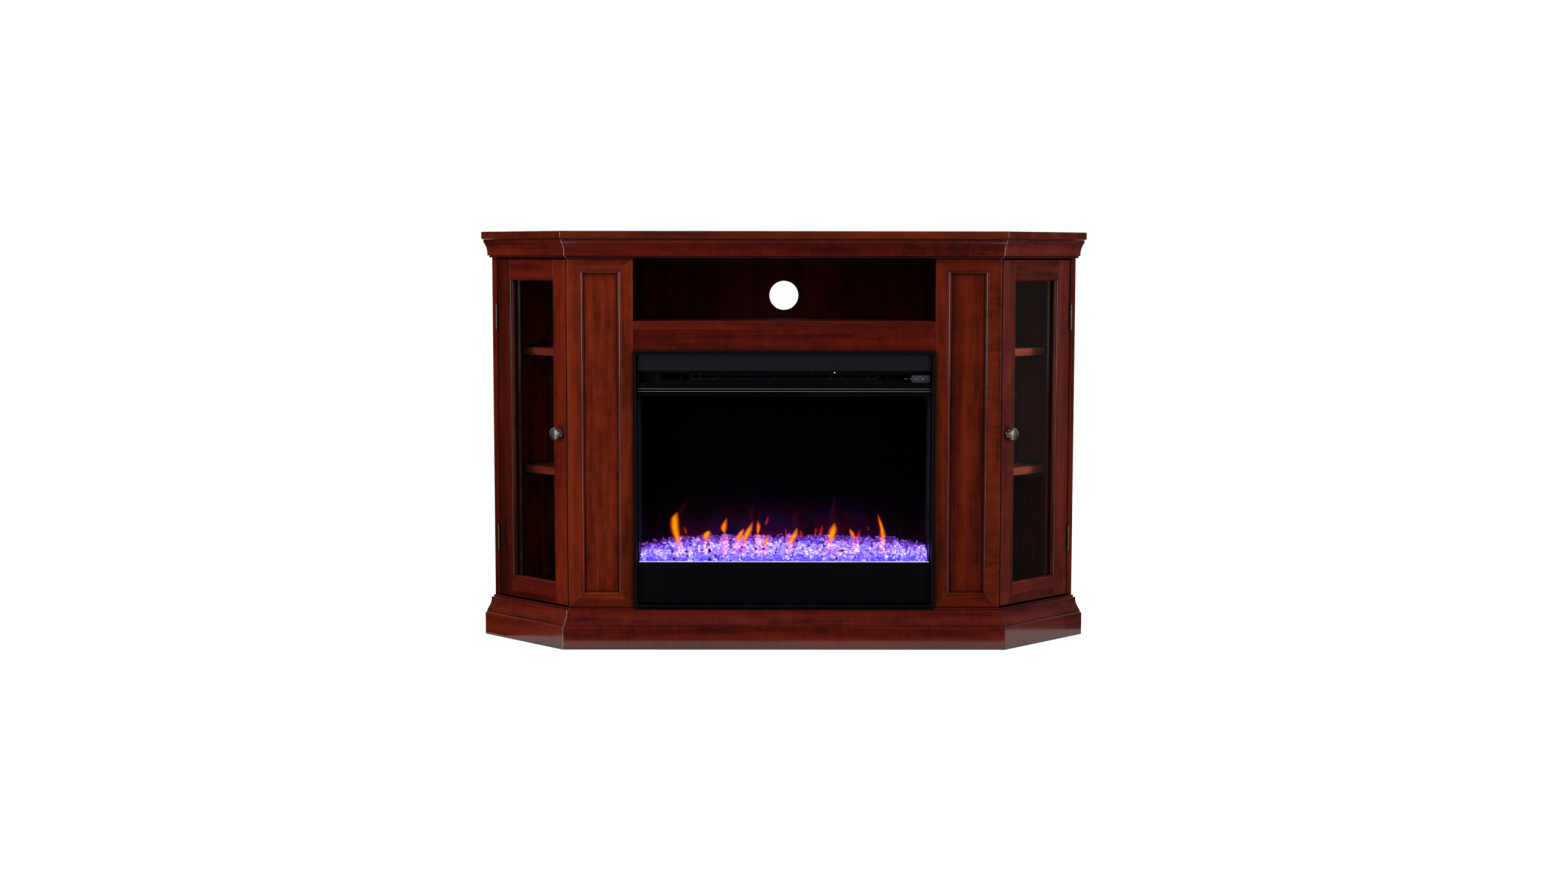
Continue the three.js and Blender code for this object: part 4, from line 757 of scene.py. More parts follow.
# Pale lines along the mitres' arrises are painted highlights; at the right base corner the line is dark.
MITRE_HIGHLIGHT = Coated("waxed_arris_rubbed", "cherry", colour="#8c6a62", grit="#d8c6c0", grit_mm=5.0,
                      relief_mm=0.05, roughness=0.25, specular=0.5)
DARK_CORNER_LINE = Coated("waxed_arris_toned", "cherry", colour="#30100b", grit="#5c342c", grit_mm=5.0,
                  relief_mm=0.05, roughness=0.25, specular=0.5)
# Moulded ABS with a spark-eroded texture of 0.3 mm, drawn 0.9 mm: satin, evenly grained.
GREY_ABS = Coated("grey_abs_moulded", "grey_plastic", colour="#36343a", grit="#434148", grit_mm=0.9,
                  relief_mm=0.03, roughness=0.42)
BLACK_ABS = Coated("black_abs_moulded", "black_plastic", colour="#131316", grit="#1e1e22", grit_mm=0.9,
                   relief_mm=0.03, roughness=0.48)
# Pad-printed ink: flat and pale on the black plate.
PRINT = Coated("pale_grey_pad_print", "grey_plastic", colour="#a9a6ad", grit="#b9b6bd", grit_mm=0.7,
               relief_mm=0.01, roughness=0.55)
FLOAT_GLASS = ClearPane("float_glass_polished", "clear_glass", tint="#f2f6f5", ior=1.5, specular=0.5)
# The insert's front pane is heat-proof glass with a thin anti-glare coat.
FRONT_GLASS = ClearPane("coated_glass_polished", "clear_glass", tint="#f4f2f6", ior=1.45, specular=0.12)
TRAY_ACRYLIC = ClearPane("acrylic_cast_polished", "clear_acrylic", tint="#eae6f4", ior=1.49, specular=0.5)
SCREEN = SmokedScreen("smoked_acrylic_cast", "smoked_acrylic", foot_mm=172.0, head_mm=315.0)
CRYSTAL = LitFacets("acrylic_chunks_tumbled", "crystal")
FLAME = FlamePicture("flame_light_on_screen", "smoked_acrylic")
# The glass's lit foot is a painted glow: the strip stands for the lamps' light in the glass edge.
GLASS_EDGE = Lamp("glass_edge_lit_polished", "clear_glass", colour="#c9b4f0", strength=0.75)
LENS = Lamp("signal_lens_moulded", "clear_acrylic", colour="#ffffff", strength=0.5)
MASK = SolderMask("solder_mask_white_printed", "circuit_board")
BLACK_CLOTH = Cloth("black_cloth_flag", "studio", glow=0.0)
GREY_CLOTH = Cloth("grey_cloth_flag", "studio", glow=0.055)
DARK_CLOTH = Cloth("dark_cloth_flag", "studio", glow=0.03)
VINYL = WhiteVinyl("white_vinyl_floor_matt", "studio")


# Mesh building
def linked(name: str, data: bpy.types.ID) -> bpy.types.Object:
    """Makes an object in the scene.

    Args:
        name: The object's name.
        data: Its mesh, camera or light.

    Returns:
        The object.
    """
    made = bpy.data.objects.new(name, data)
    bpy.context.collection.objects.link(made)
    return made


def carried(name: str, mesh: bmesh.types.BMesh, finish: Finish, body: str,
            replaces: Sequence[str] = ()) -> bpy.types.Object:
    """Makes a piece of a mesh, which is used up.

    Args:
        name: The object's name.
        mesh: Its faces.
        finish: Its surface.
        body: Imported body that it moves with.
        replaces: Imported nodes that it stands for.

    Returns:
        The object.
    """
    data = bpy.data.meshes.new(name)
    mesh.to_mesh(data)
    mesh.free()
    data.materials.append(finish.material())
    data.shade_smooth()
    made = linked(name, data)
    if replaces:
        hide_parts(*replaces)
    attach(made, body)
    LOG.info("%s: %d faces, %s", name, len(data.polygons), finish.name)
    return made


def ease_edges(piece: bpy.types.Object, width_mm: float) -> None:
    """Rounds the sharp edges of an object with a modifier.

    Args:
        piece: The object.
        width_mm: Width of the rounded edges.
    """
    bevel = piece.modifiers.new("eased_edges", "BEVEL")
    bevel.width = width_mm * MM
    bevel.segments = 2
    bevel.limit_method = "ANGLE"
    bevel.angle_limit = radians(34.0)
    bevel.use_clamp_overlap = True
    bevel.harden_normals = True


def dress(finish: Finish, *nodes: str, bevel_mm: float = 0.0) -> None:
    """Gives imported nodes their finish.

    Args:
        finish: The surface.
        nodes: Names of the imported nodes.
        bevel_mm: Width of the rounded edges, or 0.
    """
    for node in nodes:
        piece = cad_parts[node]
        for place in piece.material_slots:
            place.material = finish.material()
        if bevel_mm:
            ease_edges(piece, bevel_mm)
        LOG.info("%s: packed shape, %s", node, finish.name)


def swept(steps: int, at: Callable[[float], tuple[float, float]]) -> Section:
    """A curve's points from t = 0 to t = 1."""
    return [at(n / steps) for n in range(steps + 1)]


class Workpiece:
    """Closed shells of one material that become one Blender object."""

    def __init__(self, name: str, place: Place = front_place) -> None:
        """Starts an empty piece.

        Args:
            name: The object's name.
            place: Turns the piece's own coordinates, in millimetres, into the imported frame.
        """
        self.name = name
        self.place = place
        self.mesh = bmesh.new()

    def loft(self, rings: Sequence[Sequence[Point]], capped: bool = True) -> None:
        """Skins rings that have the same number of points.

        Args:
            rings: The rings, in the piece's own coordinates.
            capped: Whether the first and the last ring are closed with a face.
        """
        loops = [[self.mesh.verts.new(self.place(*point)) for point in ring] for ring in rings]
        for near, far in zip(loops, loops[1:]):
            for i in range(len(near)):
                j = (i + 1) % len(near)
                self.mesh.faces.new((near[i], near[j], far[j], far[i]))
        if capped:
            self.mesh.faces.new(list(reversed(loops[0])))
            self.mesh.faces.new(loops[-1])

    def block(self, low: Point, high: Point) -> None:
        """A block between two corners."""
        outline = [(low[0], low[1]), (high[0], low[1]), (high[0], high[1]), (low[0], high[1])]
        self.loft([[(x, y, z) for x, y in outline] for z in (low[2], high[2])])

    def length(self, section: Section, start: float, end: float) -> None:
        """A length along X of a section that is given as (y, z) points."""
        self.loft([[(x, y, z) for y, z in section] for x in (start, end)])

    def turned(self, profile: Section, centre: Point, axis: Axis, sides: int = 40,
               shape: Callable[[float, float], float] | None = None) -> None:
        """A turned shape.

        Args:
            profile: (radius, height) pairs, foot first; neither end is on the axis.
            centre: The foot's middle.
            axis: Which way the shape stands.
            sides: Corners in each ring.
            shape: Radius for a profile radius and a turn from 0 to 1, where the ring isn't round.
        """
        along, sign = axis.value
        rings = []
        for radius, height in profile:
            ring = []
            for n in range(sides):
                angle = 2 * pi * n / sides
                reach = shape(radius, n / sides) if shape else radius
                offset = [reach * cos(angle), reach * sin(angle)]
                offset.insert(along, sign * height)
                ring.append(tuple(c + o for c, o in zip(centre, offset)))
            rings.append(ring)
        self.loft(rings)

    def tube(self, path: Sequence[Point], radius: float, sides: int = 8, closed: bool = False) -> None:
        """A round rod that bends in the front plane, X and Z.

        Args:
            path: Points of its middle line.
            radius: The rod's radius.
            sides: Corners in each ring.
            closed: Whether the rod ends where it starts.
        """
        last = len(path) - 1
        rings = []
        for n, (x, y, z) in enumerate(path):
            before = path[n - 1 if closed else max(n - 1, 0)]
            after = path[(n + 1) % (last + 1) if closed else min(n + 1, last)]
            run = Vector((after[0] - before[0], 0, after[2] - before[2])).normalized()
            across = Vector((-run.z, 0, run.x))
            ring = []
            for k in range(sides):
                angle = 2 * pi * k / sides
                out = across * (radius * cos(angle))
                ring.append((x + out.x, y + radius * sin(angle), z + out.z))
            rings.append(ring)
        if closed:
            rings.append(rings[0])
        self.loft(rings, capped=not closed)
        if closed:
            bmesh.ops.remove_doubles(self.mesh, verts=self.mesh.verts, dist=1e-6)

    def screw(self, centre: Point, radius: float, axis: Axis) -> None:
        """A pan-head screw with a cross recess.

        Args:
            centre: Middle of the head's foot.
            radius: The head's radius.
            axis: Which way the head points.
        """
        def rounded(reach: float, turn: float) -> float:
            """Round for the head, and four arms for the recess, which has the smaller radii."""
            arm = abs((turn * 4 + 0.5) % 1 - 0.5) < 0.13
            return reach if arm or reach >= 0.62 * radius else 0.36 * reach

        self.turned([
            (radius, 0.0), (radius, 0.12 * radius), (0.9 * radius, 0.32 * radius),
            (0.66 * radius, 0.45 * radius), (0.6 * radius, 0.46 * radius), (0.42 * radius, 0.12 * radius),
        ], centre, axis, 24, rounded)

    def fit(self, finish: Finish, body: str = "case", replaces: Sequence[str] = (), bevel_mm: float = 0.0,
            smooth_deg: float = 34.0) -> None:
        """Makes the Blender object.

        Args:
            finish: Its surface.
            body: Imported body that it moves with.
            replaces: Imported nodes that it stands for.
            bevel_mm: Width of the rounded arrises, or 0.
            smooth_deg: Edges flatter than this are shaded smooth.
        """
        bmesh.ops.recalc_face_normals(self.mesh, faces=self.mesh.faces)
        made = carried(self.name, self.mesh, finish, body, replaces)
        made.data.set_sharp_from_angle(angle=radians(smooth_deg))
        if bevel_mm:
            ease_edges(made, bevel_mm)


# Case
@dataclass
class Mouldings:
    """Crown and base: each a front run and two side runs, mitred at the front corners."""

    rail: float = 15.0
    plinth_out: float = 27.0
    plinth_height: float = 44.8
    ogee_out: float = 23.5
    ogee_top_out: float = 11.0
    ogee_lean: float = 1.5
    cap_out: float = 5.0
    cap_height: float = 3.8
    bead_out: float = 7.6
    bead_height: float = 4.0
    cove_bottom_out: float = 12.0
    cove_top_out: float = 21.7
    cove_step: float = 2.6
    fillet_out: float = 22.0
    fillet_height: float = 6.0
    top_easing: float = 1.6
    mitre_half: float = 0.62
    mitre_sunk: float = 0.4
    mitre_proud: float = 0.04

    def base_section(self) -> Section:
        """Plinth, ogee and cap.

        Returns:
            (out, height) points.
        """
        cap_bottom = FLOOR_BOARD_TOP - self.cap_height
        under = FLOOR_BOARD_TOP - BOARD - GAP
        ogee = swept(14, lambda t: (
            self.ogee_top_out + (self.ogee_out - self.ogee_top_out)
            * (0.5 - 0.5 * cos(pi * (1 - t) ** self.ogee_lean)),
            self.plinth_height + (cap_bottom - self.plinth_height) * t))
        return [(-self.rail, 0.0), (self.plinth_out, 0.0), (self.plinth_out, self.plinth_height - 1),
                (self.plinth_out - 1, self.plinth_height), *ogee, (self.cap_out, cap_bottom),
                (self.cap_out, FLOOR_BOARD_TOP), (0.0, FLOOR_BOARD_TOP), (0.0, under), (-self.rail, under)]

    def crown_section(self) -> Section:
        """Bead, step, cove and fillet.

        Returns:
            (out, height) points.
        """
        radius = self.bead_height / 2
        bead_top = CROWN_BOTTOM + self.bead_height
        cove_bottom = bead_top + self.cove_step
        cove_top = BOARD_TOP - self.fillet_height
        bead = swept(8, lambda t: (
            self.bead_out - radius + radius * sin(pi * t), CROWN_BOTTOM + radius - radius * cos(pi * t)))
        turn = 2 * atan((self.cove_top_out - self.cove_bottom_out) / (cove_top - cove_bottom))
        cove_radius = (cove_top - cove_bottom) / sin(turn)
        cove = swept(14, lambda t: (
            self.cove_bottom_out + cove_radius * (1 - cos(turn * t)),
            cove_bottom + cove_radius * sin(turn * t)))
        return [(-self.rail, CROWN_BOTTOM), *bead, (self.cove_bottom_out, bead_top), *cove,
                (self.fillet_out, cove_top), (self.fillet_out, BOARD_TOP), (-self.rail, BOARD_TOP)]

    def run(self, name: str, section: Section, place: Place, ends: Sequence[Callable[[float], float]],
            finish: Finish) -> None:
        """One run of a moulding.

        Args:
            name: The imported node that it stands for.
            section: (out, height) points.
            place: Turns the run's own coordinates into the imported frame.
            ends: Where the run starts and where it ends, for a distance out.
            finish: Its surface.
        """
        piece = Workpiece(f"{name}_moulding", place)
        piece.loft([[(at(out), -out, z) for out, z in section] for at in ends])
        piece.fit(finish, replaces=(name,), bevel_mm=0.6)

    def mitre_line(self, name: str, section: Section, hand: Hand) -> None:
        """Painted highlight along a mitre's arris: a ribbon that follows the moulding's face, dark at the
        right base corner.

        Args:
            name: The moulding's name.
            section: (out, height) points of its face.
            hand: The side of the corner.
        """
        half, sunk = self.mitre_half, self.mitre_sunk
        rings = []
        for out, z in section:
            x, y, proud = FRONT_HALF + out * MITRE, -out, min(self.mitre_proud, self.plinth_out - out)
            rings.append([(x - half, y - proud, z), (x - half, y + sunk, z),
                          (x + half * DIAGONAL - sunk * DIAGONAL, y + (half + sunk) * DIAGONAL, z),
                          (x + (half + proud) * DIAGONAL, y + (half - proud) * DIAGONAL, z),
                          (x + proud * MITRE, y - proud, z)])
        piece = Workpiece(f"{name}_mitre_{hand.side}", hand.front_place)
        piece.loft(rings)
        piece.fit(DARK_CORNER_LINE if hand is Hand.RIGHT and name == "base" else MITRE_HIGHLIGHT)

    def build(self) -> None:
        """Both mouldings, three runs each, and the painted highlight lines of their corners and the top
        board's.
        """
        easing = self.top_easing
        slab = [(self.plinth_out, BOARD_TOP + GAP + easing), (self.plinth_out, CONSOLE_TOP - easing),
                (self.plinth_out - 0.5 * easing, CONSOLE_TOP - 0.2 * easing)]
        sections = {"top_board": slab, "base": self.base_section(), "crown": self.crown_section()}
        for name, section in sections.items():
            for hand in Hand:
                self.mitre_line(name, [point for point in section if point[0] > 0], hand)
        half_front = FRONT_HALF - GAP / 2
        for name in ("base", "crown"):
            self.run(f"{name}_front", sections[name], front_place,
                     (lambda out: -half_front - out * MITRE, lambda out: half_front + out * MITRE),
                     moulded_cherry(Stain.MOULDING, Grain.ACROSS))
            for hand in Hand:
                self.run(f"{name}_{hand.side}", sections[name], hand.wing_place,
                         (lambda out: GAP / 2 - out * MITRE, lambda out: WING_LENGTH - GAP),
                         moulded_cherry(Stain.of(hand, name), hand.wing_grain))


@dataclass
class Pilaster:
    """A mitred frame of four members with a bead, and a flat panel behind it."""

    hand: Hand
    thick: float = 20.0
    stile: float = 24.0
    bead: float = 6.5
    panel_depth: float = 8.0
    quirk: float = 1.4
    rabbet: float = 7.0
    jamb: float = 3.6
    half_seam: float = 0.15

    def section(self) -> Section:
        """Face, quirk, bead, rabbet and back of a frame member.

        Returns:
            (inset, depth) points.
        """
        back = self.panel_depth - GAP
        bead = swept(10, lambda t: (
            self.stile + 1 + (self.bead - 1) * sin(pi / 2 * t), back - (back - 0.5) * cos(pi / 2 * t)))
        return [(0.0, 0.0), (self.stile, 0.0), (self.stile, self.quirk), (self.stile + 0.6, self.quirk),
                *bead, (self.stile - self.rabbet, back), (self.stile - self.rabbet, self.thick),
                (0.0, self.thick)]

    def outer_section(self) -> Section:
        """The outer stile turns the corner, and its edge is square to the door."""
        turn = self.jamb * DIAGONAL
        return [(0.0, 0.0), *self.section()[1:-1], (self.thick - 2 * turn, self.thick), (-turn, turn)]

    def build(self) -> None:
        """Two stiles, two rails and the panel's finish."""
        side, place, seam = self.hand.side, self.hand.front_place, self.half_seam
        stain = Stain.of(self.hand, "pilaster")
        upright, across = cherry(stain, Grain.UPRIGHT), cherry(stain, Grain.ACROSS)
        replaced = (f"pilaster_frame_{side}",)
        # The right pilaster's outer stile is cut from a board with a ripple.
        figured = cherry(Stain.FIGURED, Grain.UPRIGHT, figure=0.45)
        stiles = (("inner", self.section(), PILASTER_INNER, 1, upright),
                  ("outer", self.outer_section(), FRONT_HALF, -1,
                   figured if self.hand is Hand.RIGHT else upright))
        for name, section, edge, way, tone in stiles:
            piece = Workpiece(f"pilaster_{name}_stile_{side}", place)
            piece.loft([[(edge + way * v, y, end + step * (max(v, 0.0) + seam)) for v, y in section]
                        for end, step in ((CASE_BOTTOM, 1), (CASE_TOP, -1))])
            piece.fit(tone, replaces=replaced, bevel_mm=0.5)
        for name, end, step in (("top", CASE_TOP, -1), ("bottom", CASE_BOTTOM, 1)):
            piece = Workpiece(f"pilaster_{name}_rail_{side}", place)
            # At the outer side a rail also stops short of the jamb's square edge.
            piece.loft([
                [(PILASTER_INNER + v + seam, y, end + step * v) for v, y in self.section()],
                [(FRONT_HALF - max(v, y - 2 * self.jamb * DIAGONAL, 0.0) - seam, y, end + step * v)
                 for v, y in self.section()]])
            piece.fit(across, replaces=replaced, bevel_mm=0.5)
        dress(upright, f"pilaster_panel_{side}")


@dataclass
class Case:
    """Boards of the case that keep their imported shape, and the small hardware on them."""

    shelf_tops: tuple[float, ...] = (342.98, 585.03)
    pin_radius: float = 2.5
    pin_length: float = 7.0
    wall_pins: tuple[float, ...] = (84.0, 120.0)  # in from the door face
    post_pins: tuple[float, ...] = (60.0, 215.0)  # back from the front
    glue_inset: float = 0.6
    screw_radius: float = 3.2
    # Screws round the edges of the back panel, and on its middle boards, as (heights, places across).
    back_screws: tuple[tuple[tuple[float, ...], tuple[float, ...]], ...] = (
        ((70.0, 210.0, 390.0, 570.0, 796.0), (-470.0, -303.3, 303.3, 470.0)),
        ((70.0, 635.0, 796.0), (-150.0, 0.0, 150.0)))

    def dress_boards(self) -> None:
        """Finishes for boards, by the way their grain runs."""
        dress(cherry(Stain.TOP, Grain.ACROSS, "cherry_top", glaze=0.5), "top_board")
        dress(cherry(Stain.NICHE_FLOOR, Grain.ACROSS, roughness=0.85, film=0.0, sheen=0.04), "media_shelf",
              bevel_mm=0.5)
        dress(moulded_cherry(Stain.MOULDING, Grain.ACROSS), "header_rail", bevel_mm=0.5)
        dress(inside_cherry(Grain.ACROSS), "floor_board")
        dress(inside_cherry(Grain.UPRIGHT, Stain.BACK), "back_panel")
        dress(inside_cherry(Grain.UPRIGHT), "upright_left", "upright_right")
        dress(cherry(Stain.DOOR, Grain.UPRIGHT), "side_panel_left", "side_panel_right", bevel_mm=0.5)
        dress(BLACK_ABS, "catch_left", "catch_right", bevel_mm=0.5)
        for hand in Hand:
            dress(cherry(Stain.of(hand, "shelf"), hand.wing_grain, glaze=0.5),
                  f"cabinet_shelf_lower_{hand.side}", f"cabinet_shelf_upper_{hand.side}", bevel_mm=0.5)

    def shelf_pins(self) -> None:
        """Four plated pins under each cabinet shelf, two in the upright and two in the side panel."""
        radius, tip, length = self.pin_radius, 0.8 * self.pin_radius, self.pin_length
        profile = [(tip, 0.0), (radius, 0.5), (radius, length - 0.5), (tip, length)]
        for hand in Hand:
            wall = Workpiece(f"shelf_pins_side_{hand.side}", hand.wing_place)
            post = Workpiece(f"shelf_pins_upright_{hand.side}", hand.front_place)
            for shelf_top in self.shelf_tops:
                z = shelf_top - BOARD - radius - 0.1
                for inwards in self.wall_pins:
                    wall.turned([(r, -h) for r, h in profile], (WING_LENGTH - BOARD - 0.05, inwards, z),
                                Axis.SIDEWAYS, 16)
                for depth in self.post_pins:
                    post.turned(profile, (PILASTER_INNER + BOARD + 0.05, depth, z), Axis.SIDEWAYS, 16)
            wall.fit(NICKEL)
            post.fit(NICKEL)

    def glue_lines(self) -> None:
        """Glue between the side panels' tops and the crown, which keeps light out of the seam."""
        inset = self.glue_inset
        for hand in Hand:
            piece = Workpiece(f"side_panel_glue_{hand.side}", hand.wing_place)
            piece.block((WING_LENGTH - BOARD + inset, inset, CASE_TOP + 0.01),
                        (WING_LENGTH - inset, BOARD - inset, CROWN_BOTTOM - 0.01))
            piece.fit(inside_cherry(Grain.ACROSS))

    def build(self) -> None:
        """Everything of the case."""
        self.dress_boards()
        self.shelf_pins()
        self.glue_lines()
        screws = Workpiece("back_panel_screws")
        for heights, places in self.back_screws:
            for z in heights:
                for x in places:
                    screws.screw((x, BODY_DEPTH - 1.6, z), self.screw_radius, Axis.BACKWARD)
        screws.fit(ZINC)


# Doors
@dataclass
class CornerDoor:
    """A glazed door: two full-height stiles, two rails between them, sticking mitred round the glass."""

    hand: Hand
    start: float = 6.4
    end: float = 220.0
    bottom: float = 82.0
    top: float = 764.0
    thick: float = 20.0
    stile: float = 37.5
    sticking: float = 5.5
    reveal: float = 12.0
    glass: float = 3.0
    groove: float = 3.5
    back_lip: float = 2.5
    seam: float = 0.25
    knob_length: float = 20.0
    knob_radius: float = 12.5
    rose_radius: float = 8.2
    strike_span: tuple[float, float] = (24.0, 52.0)
    strike_z: float = 85.0
    strike_half: float = 2.4
    hinge_feet: tuple[tuple[str, float], ...] = (("lower", 172.0), ("upper", 623.0))

    def body(self) -> str:
        """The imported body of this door."""
        return f"door_{self.hand.side}"

    def flat_section(self) -> Section:
        """(inset, depth) points of the plain part of a member."""
        return [(0.0, 0.0), (self.stile, 0.0), (self.stile, self.thick), (0.0, self.thick)]

    def sticking_section(self) -> Section:
        """The moulded inner edge, with its groove for the glass.

        Returns:
            (inset, depth) points.
        """
        root, opening = self.stile + 0.02, self.stile + self.sticking
        groove_back = self.reveal + self.glass + 2 * GAP
        curve = swept(10, lambda t: (
            self.stile + 0.8 + (self.sticking - 0.8) * sin(pi / 2 * t),
            self.reveal - (self.reveal - 1) * cos(pi / 2 * t)))
        inset = self.stile + self.sticking - self.groove - GAP
        return [(root, 1.0), *curve, (inset, self.reveal), (inset, groove_back),
                (opening - self.back_lip, groove_back), (opening - self.back_lip, self.thick),
                (root, self.thick)]

    def members(self) -> None:
        """Four members, each a plain part and its length of sticking."""
        flat, sticking = self.flat_section(), self.sticking_section()
        frame_node = (f"door_frame_{self.hand.side}",)
        for name, edge, way in (("knob", self.start, 1), ("hinge", self.end, -1)):
            piece = Workpiece(f"door_{name}_stile_{self.hand.side}", self.hand.wing_place)
            piece.loft([[(edge + way * v, w, z) for v, w in flat] for z in (self.bottom, self.top)])
            piece.loft([[(edge + way * v, w, end + step * v) for v, w in sticking]
                        for end, step in ((self.bottom, 1), (self.top, -1))])
            stain = Stain.of(self.hand, f"door_{name}")
            piece.fit(cherry(stain, Grain.UPRIGHT), self.body(), frame_node, bevel_mm=0.5)
        ends = ((self.start, 1), (self.end, -1))
        for name, edge, way in (("bottom", self.bottom, 1), ("top", self.top, -1)):
            piece = Workpiece(f"door_{name}_rail_{self.hand.side}", self.hand.wing_place)
            piece.loft([[(end + step * (self.stile + self.seam), w, edge + way * v) for v, w in flat]
                        for end, step in ends])
            piece.loft([[(end + step * (v + self.seam), w, edge + way * v) for v, w in sticking]
                        for end, step in ends])
            rail = cherry(Stain.of(self.hand, "door"), self.hand.wing_grain)
            piece.fit(rail, self.body(), frame_node, bevel_mm=0.5)

    def knob(self) -> None:
        """Mushroom knob: round rose, thin neck, and a domed cap over a band with a groove."""
        radius, rose = self.knob_radius, self.rose_radius
        dome = swept(14, lambda t: (
            max(0.985 * radius * cos(pi / 2 * t) ** 0.9, 0.3),
            self.knob_length * (0.76 + 0.24 * sin(pi / 2 * t))))
        profile = [(rose, 0.0), (rose, 0.9), (8.05, 1.7), (7.5, 2.7), (6.6, 3.5), (5.4, 4.1), (4.5, 4.5),
                   (4.25, 5.2), (4.2, 6.4), (4.3, 7.6), (4.8, 8.5), (6.0, 9.4), (8.0, 10.4), (10.0, 11.4),
                   (11.6, 12.2), (12.2, 12.8), (radius, 13.3), (radius, 14.2), (12.2, 14.5), (11.8, 14.75),
                   (11.9, 15.0)]
        piece = Workpiece(f"mushroom_knob_{self.hand.side}", self.hand.wing_place)
        middle = (self.start + self.stile / 2, -GAP, (self.bottom + self.top) / 2)
        piece.turned([*profile, *dome], middle, Axis.FORWARD, 56)
        piece.fit(NICKEL, self.body(), (f"knob_{self.hand.side}",), smooth_deg=50)

    def strike(self) -> None:
        """Steel strike plate for the magnetic catch, with full round ends, on the back of the knob stile."""
        def squared(wave: float) -> float:
            """Fills a circle out towards a square."""
            return copysign(abs(wave) ** 0.4, wave)

        low, high = self.strike_span
        outline = swept(23, lambda t: (
            (low + high) / 2 + (high - low) / 2 * squared(cos(2 * pi * t)),
            self.strike_z + self.strike_half * squared(sin(2 * pi * t))))[:-1]
        piece = Workpiece(f"strike_plate_{self.hand.side}", self.hand.wing_place)
        piece.loft([[(u, w, h) for u, h in outline] for w in (self.thick - 0.5, self.thick + 0.2)])
        piece.fit(ZINC, self.body())

    def build(self) -> None:
        """The whole door with its hinges."""
        self.members()
        dress(FLOAT_GLASS, f"door_glass_{self.hand.side}")
        self.knob()
        self.strike()
        for level, foot in self.hinge_feet:
            Hinge(self.hand, level, foot).build()


@dataclass
class Hinge:
    """Butt hinge of 51 mm: knuckles on a pin with ball finials, one leaf on the case and one on the door."""

    hand: Hand
    level: str
    foot: float
    axis_u: float = 221.6
    axis_w: float = -2.5
    height: float = 51.0
    knuckles: int = 5
    barrel: float = 2.55
    leaf: float = 0.8
    leaf_depth: float = 14.0
    half_seam: float = 0.15
    easing: float = 0.35
    ball: float = 1.9

    def half(self, owner: str) -> None:
        """One leaf with its knuckles. The case leaf also carries the pin's finials.

        Args:
            owner: What the leaf is screwed to, "case" or "door".
        """
        on_case = owner == "case"
        near, far = (GAP, GAP + self.leaf) if on_case else (-GAP - self.leaf, -GAP)
        near, far = self.axis_u + near, self.axis_u + far
        plate, head = self.axis_w + self.barrel + 2 * GAP, self.foot + self.height
        piece = Workpiece(f"hinge_{self.level}_{owner}_leaf_{self.hand.side}", self.hand.wing_place)
        piece.block((near, plate, self.foot), (far, plate + self.leaf_depth, head))
        pitch = self.height / self.knuckles
        for n in range(0 if on_case else 1, self.knuckles, 2):
            low, high = self.foot + n * pitch + self.half_seam, self.foot + (n + 1) * pitch - self.half_seam
            piece.turned([
                (self.barrel - 0.4, 0.0), (self.barrel, self.easing), (self.barrel, high - low - self.easing),
                (self.barrel - 0.4, high - low)], (self.axis_u, self.axis_w, low), Axis.UP, 24)
            piece.block((near, self.axis_w, low), (far, plate + 1, high))
        if on_case:
            ball = swept(8, lambda t: (max(self.ball * sin(pi * (0.15 + 0.8 * t)), 0.3), 3.2 * t))
            for z, axis in ((head + 0.2, Axis.UP), (self.foot - 0.2, Axis.DOWN)):
                piece.turned([(1.3, -0.4), *ball], (self.axis_u, self.axis_w, z), axis, 20)
        body = "case" if on_case else f"door_{self.hand.side}"
        piece.fit(BRASS, body, (f"hinge_{self.level}_{owner}_{self.hand.side}",), smooth_deg=40)

    def build(self) -> None:
        """Both halves."""
        self.half("case")
        self.half("door")


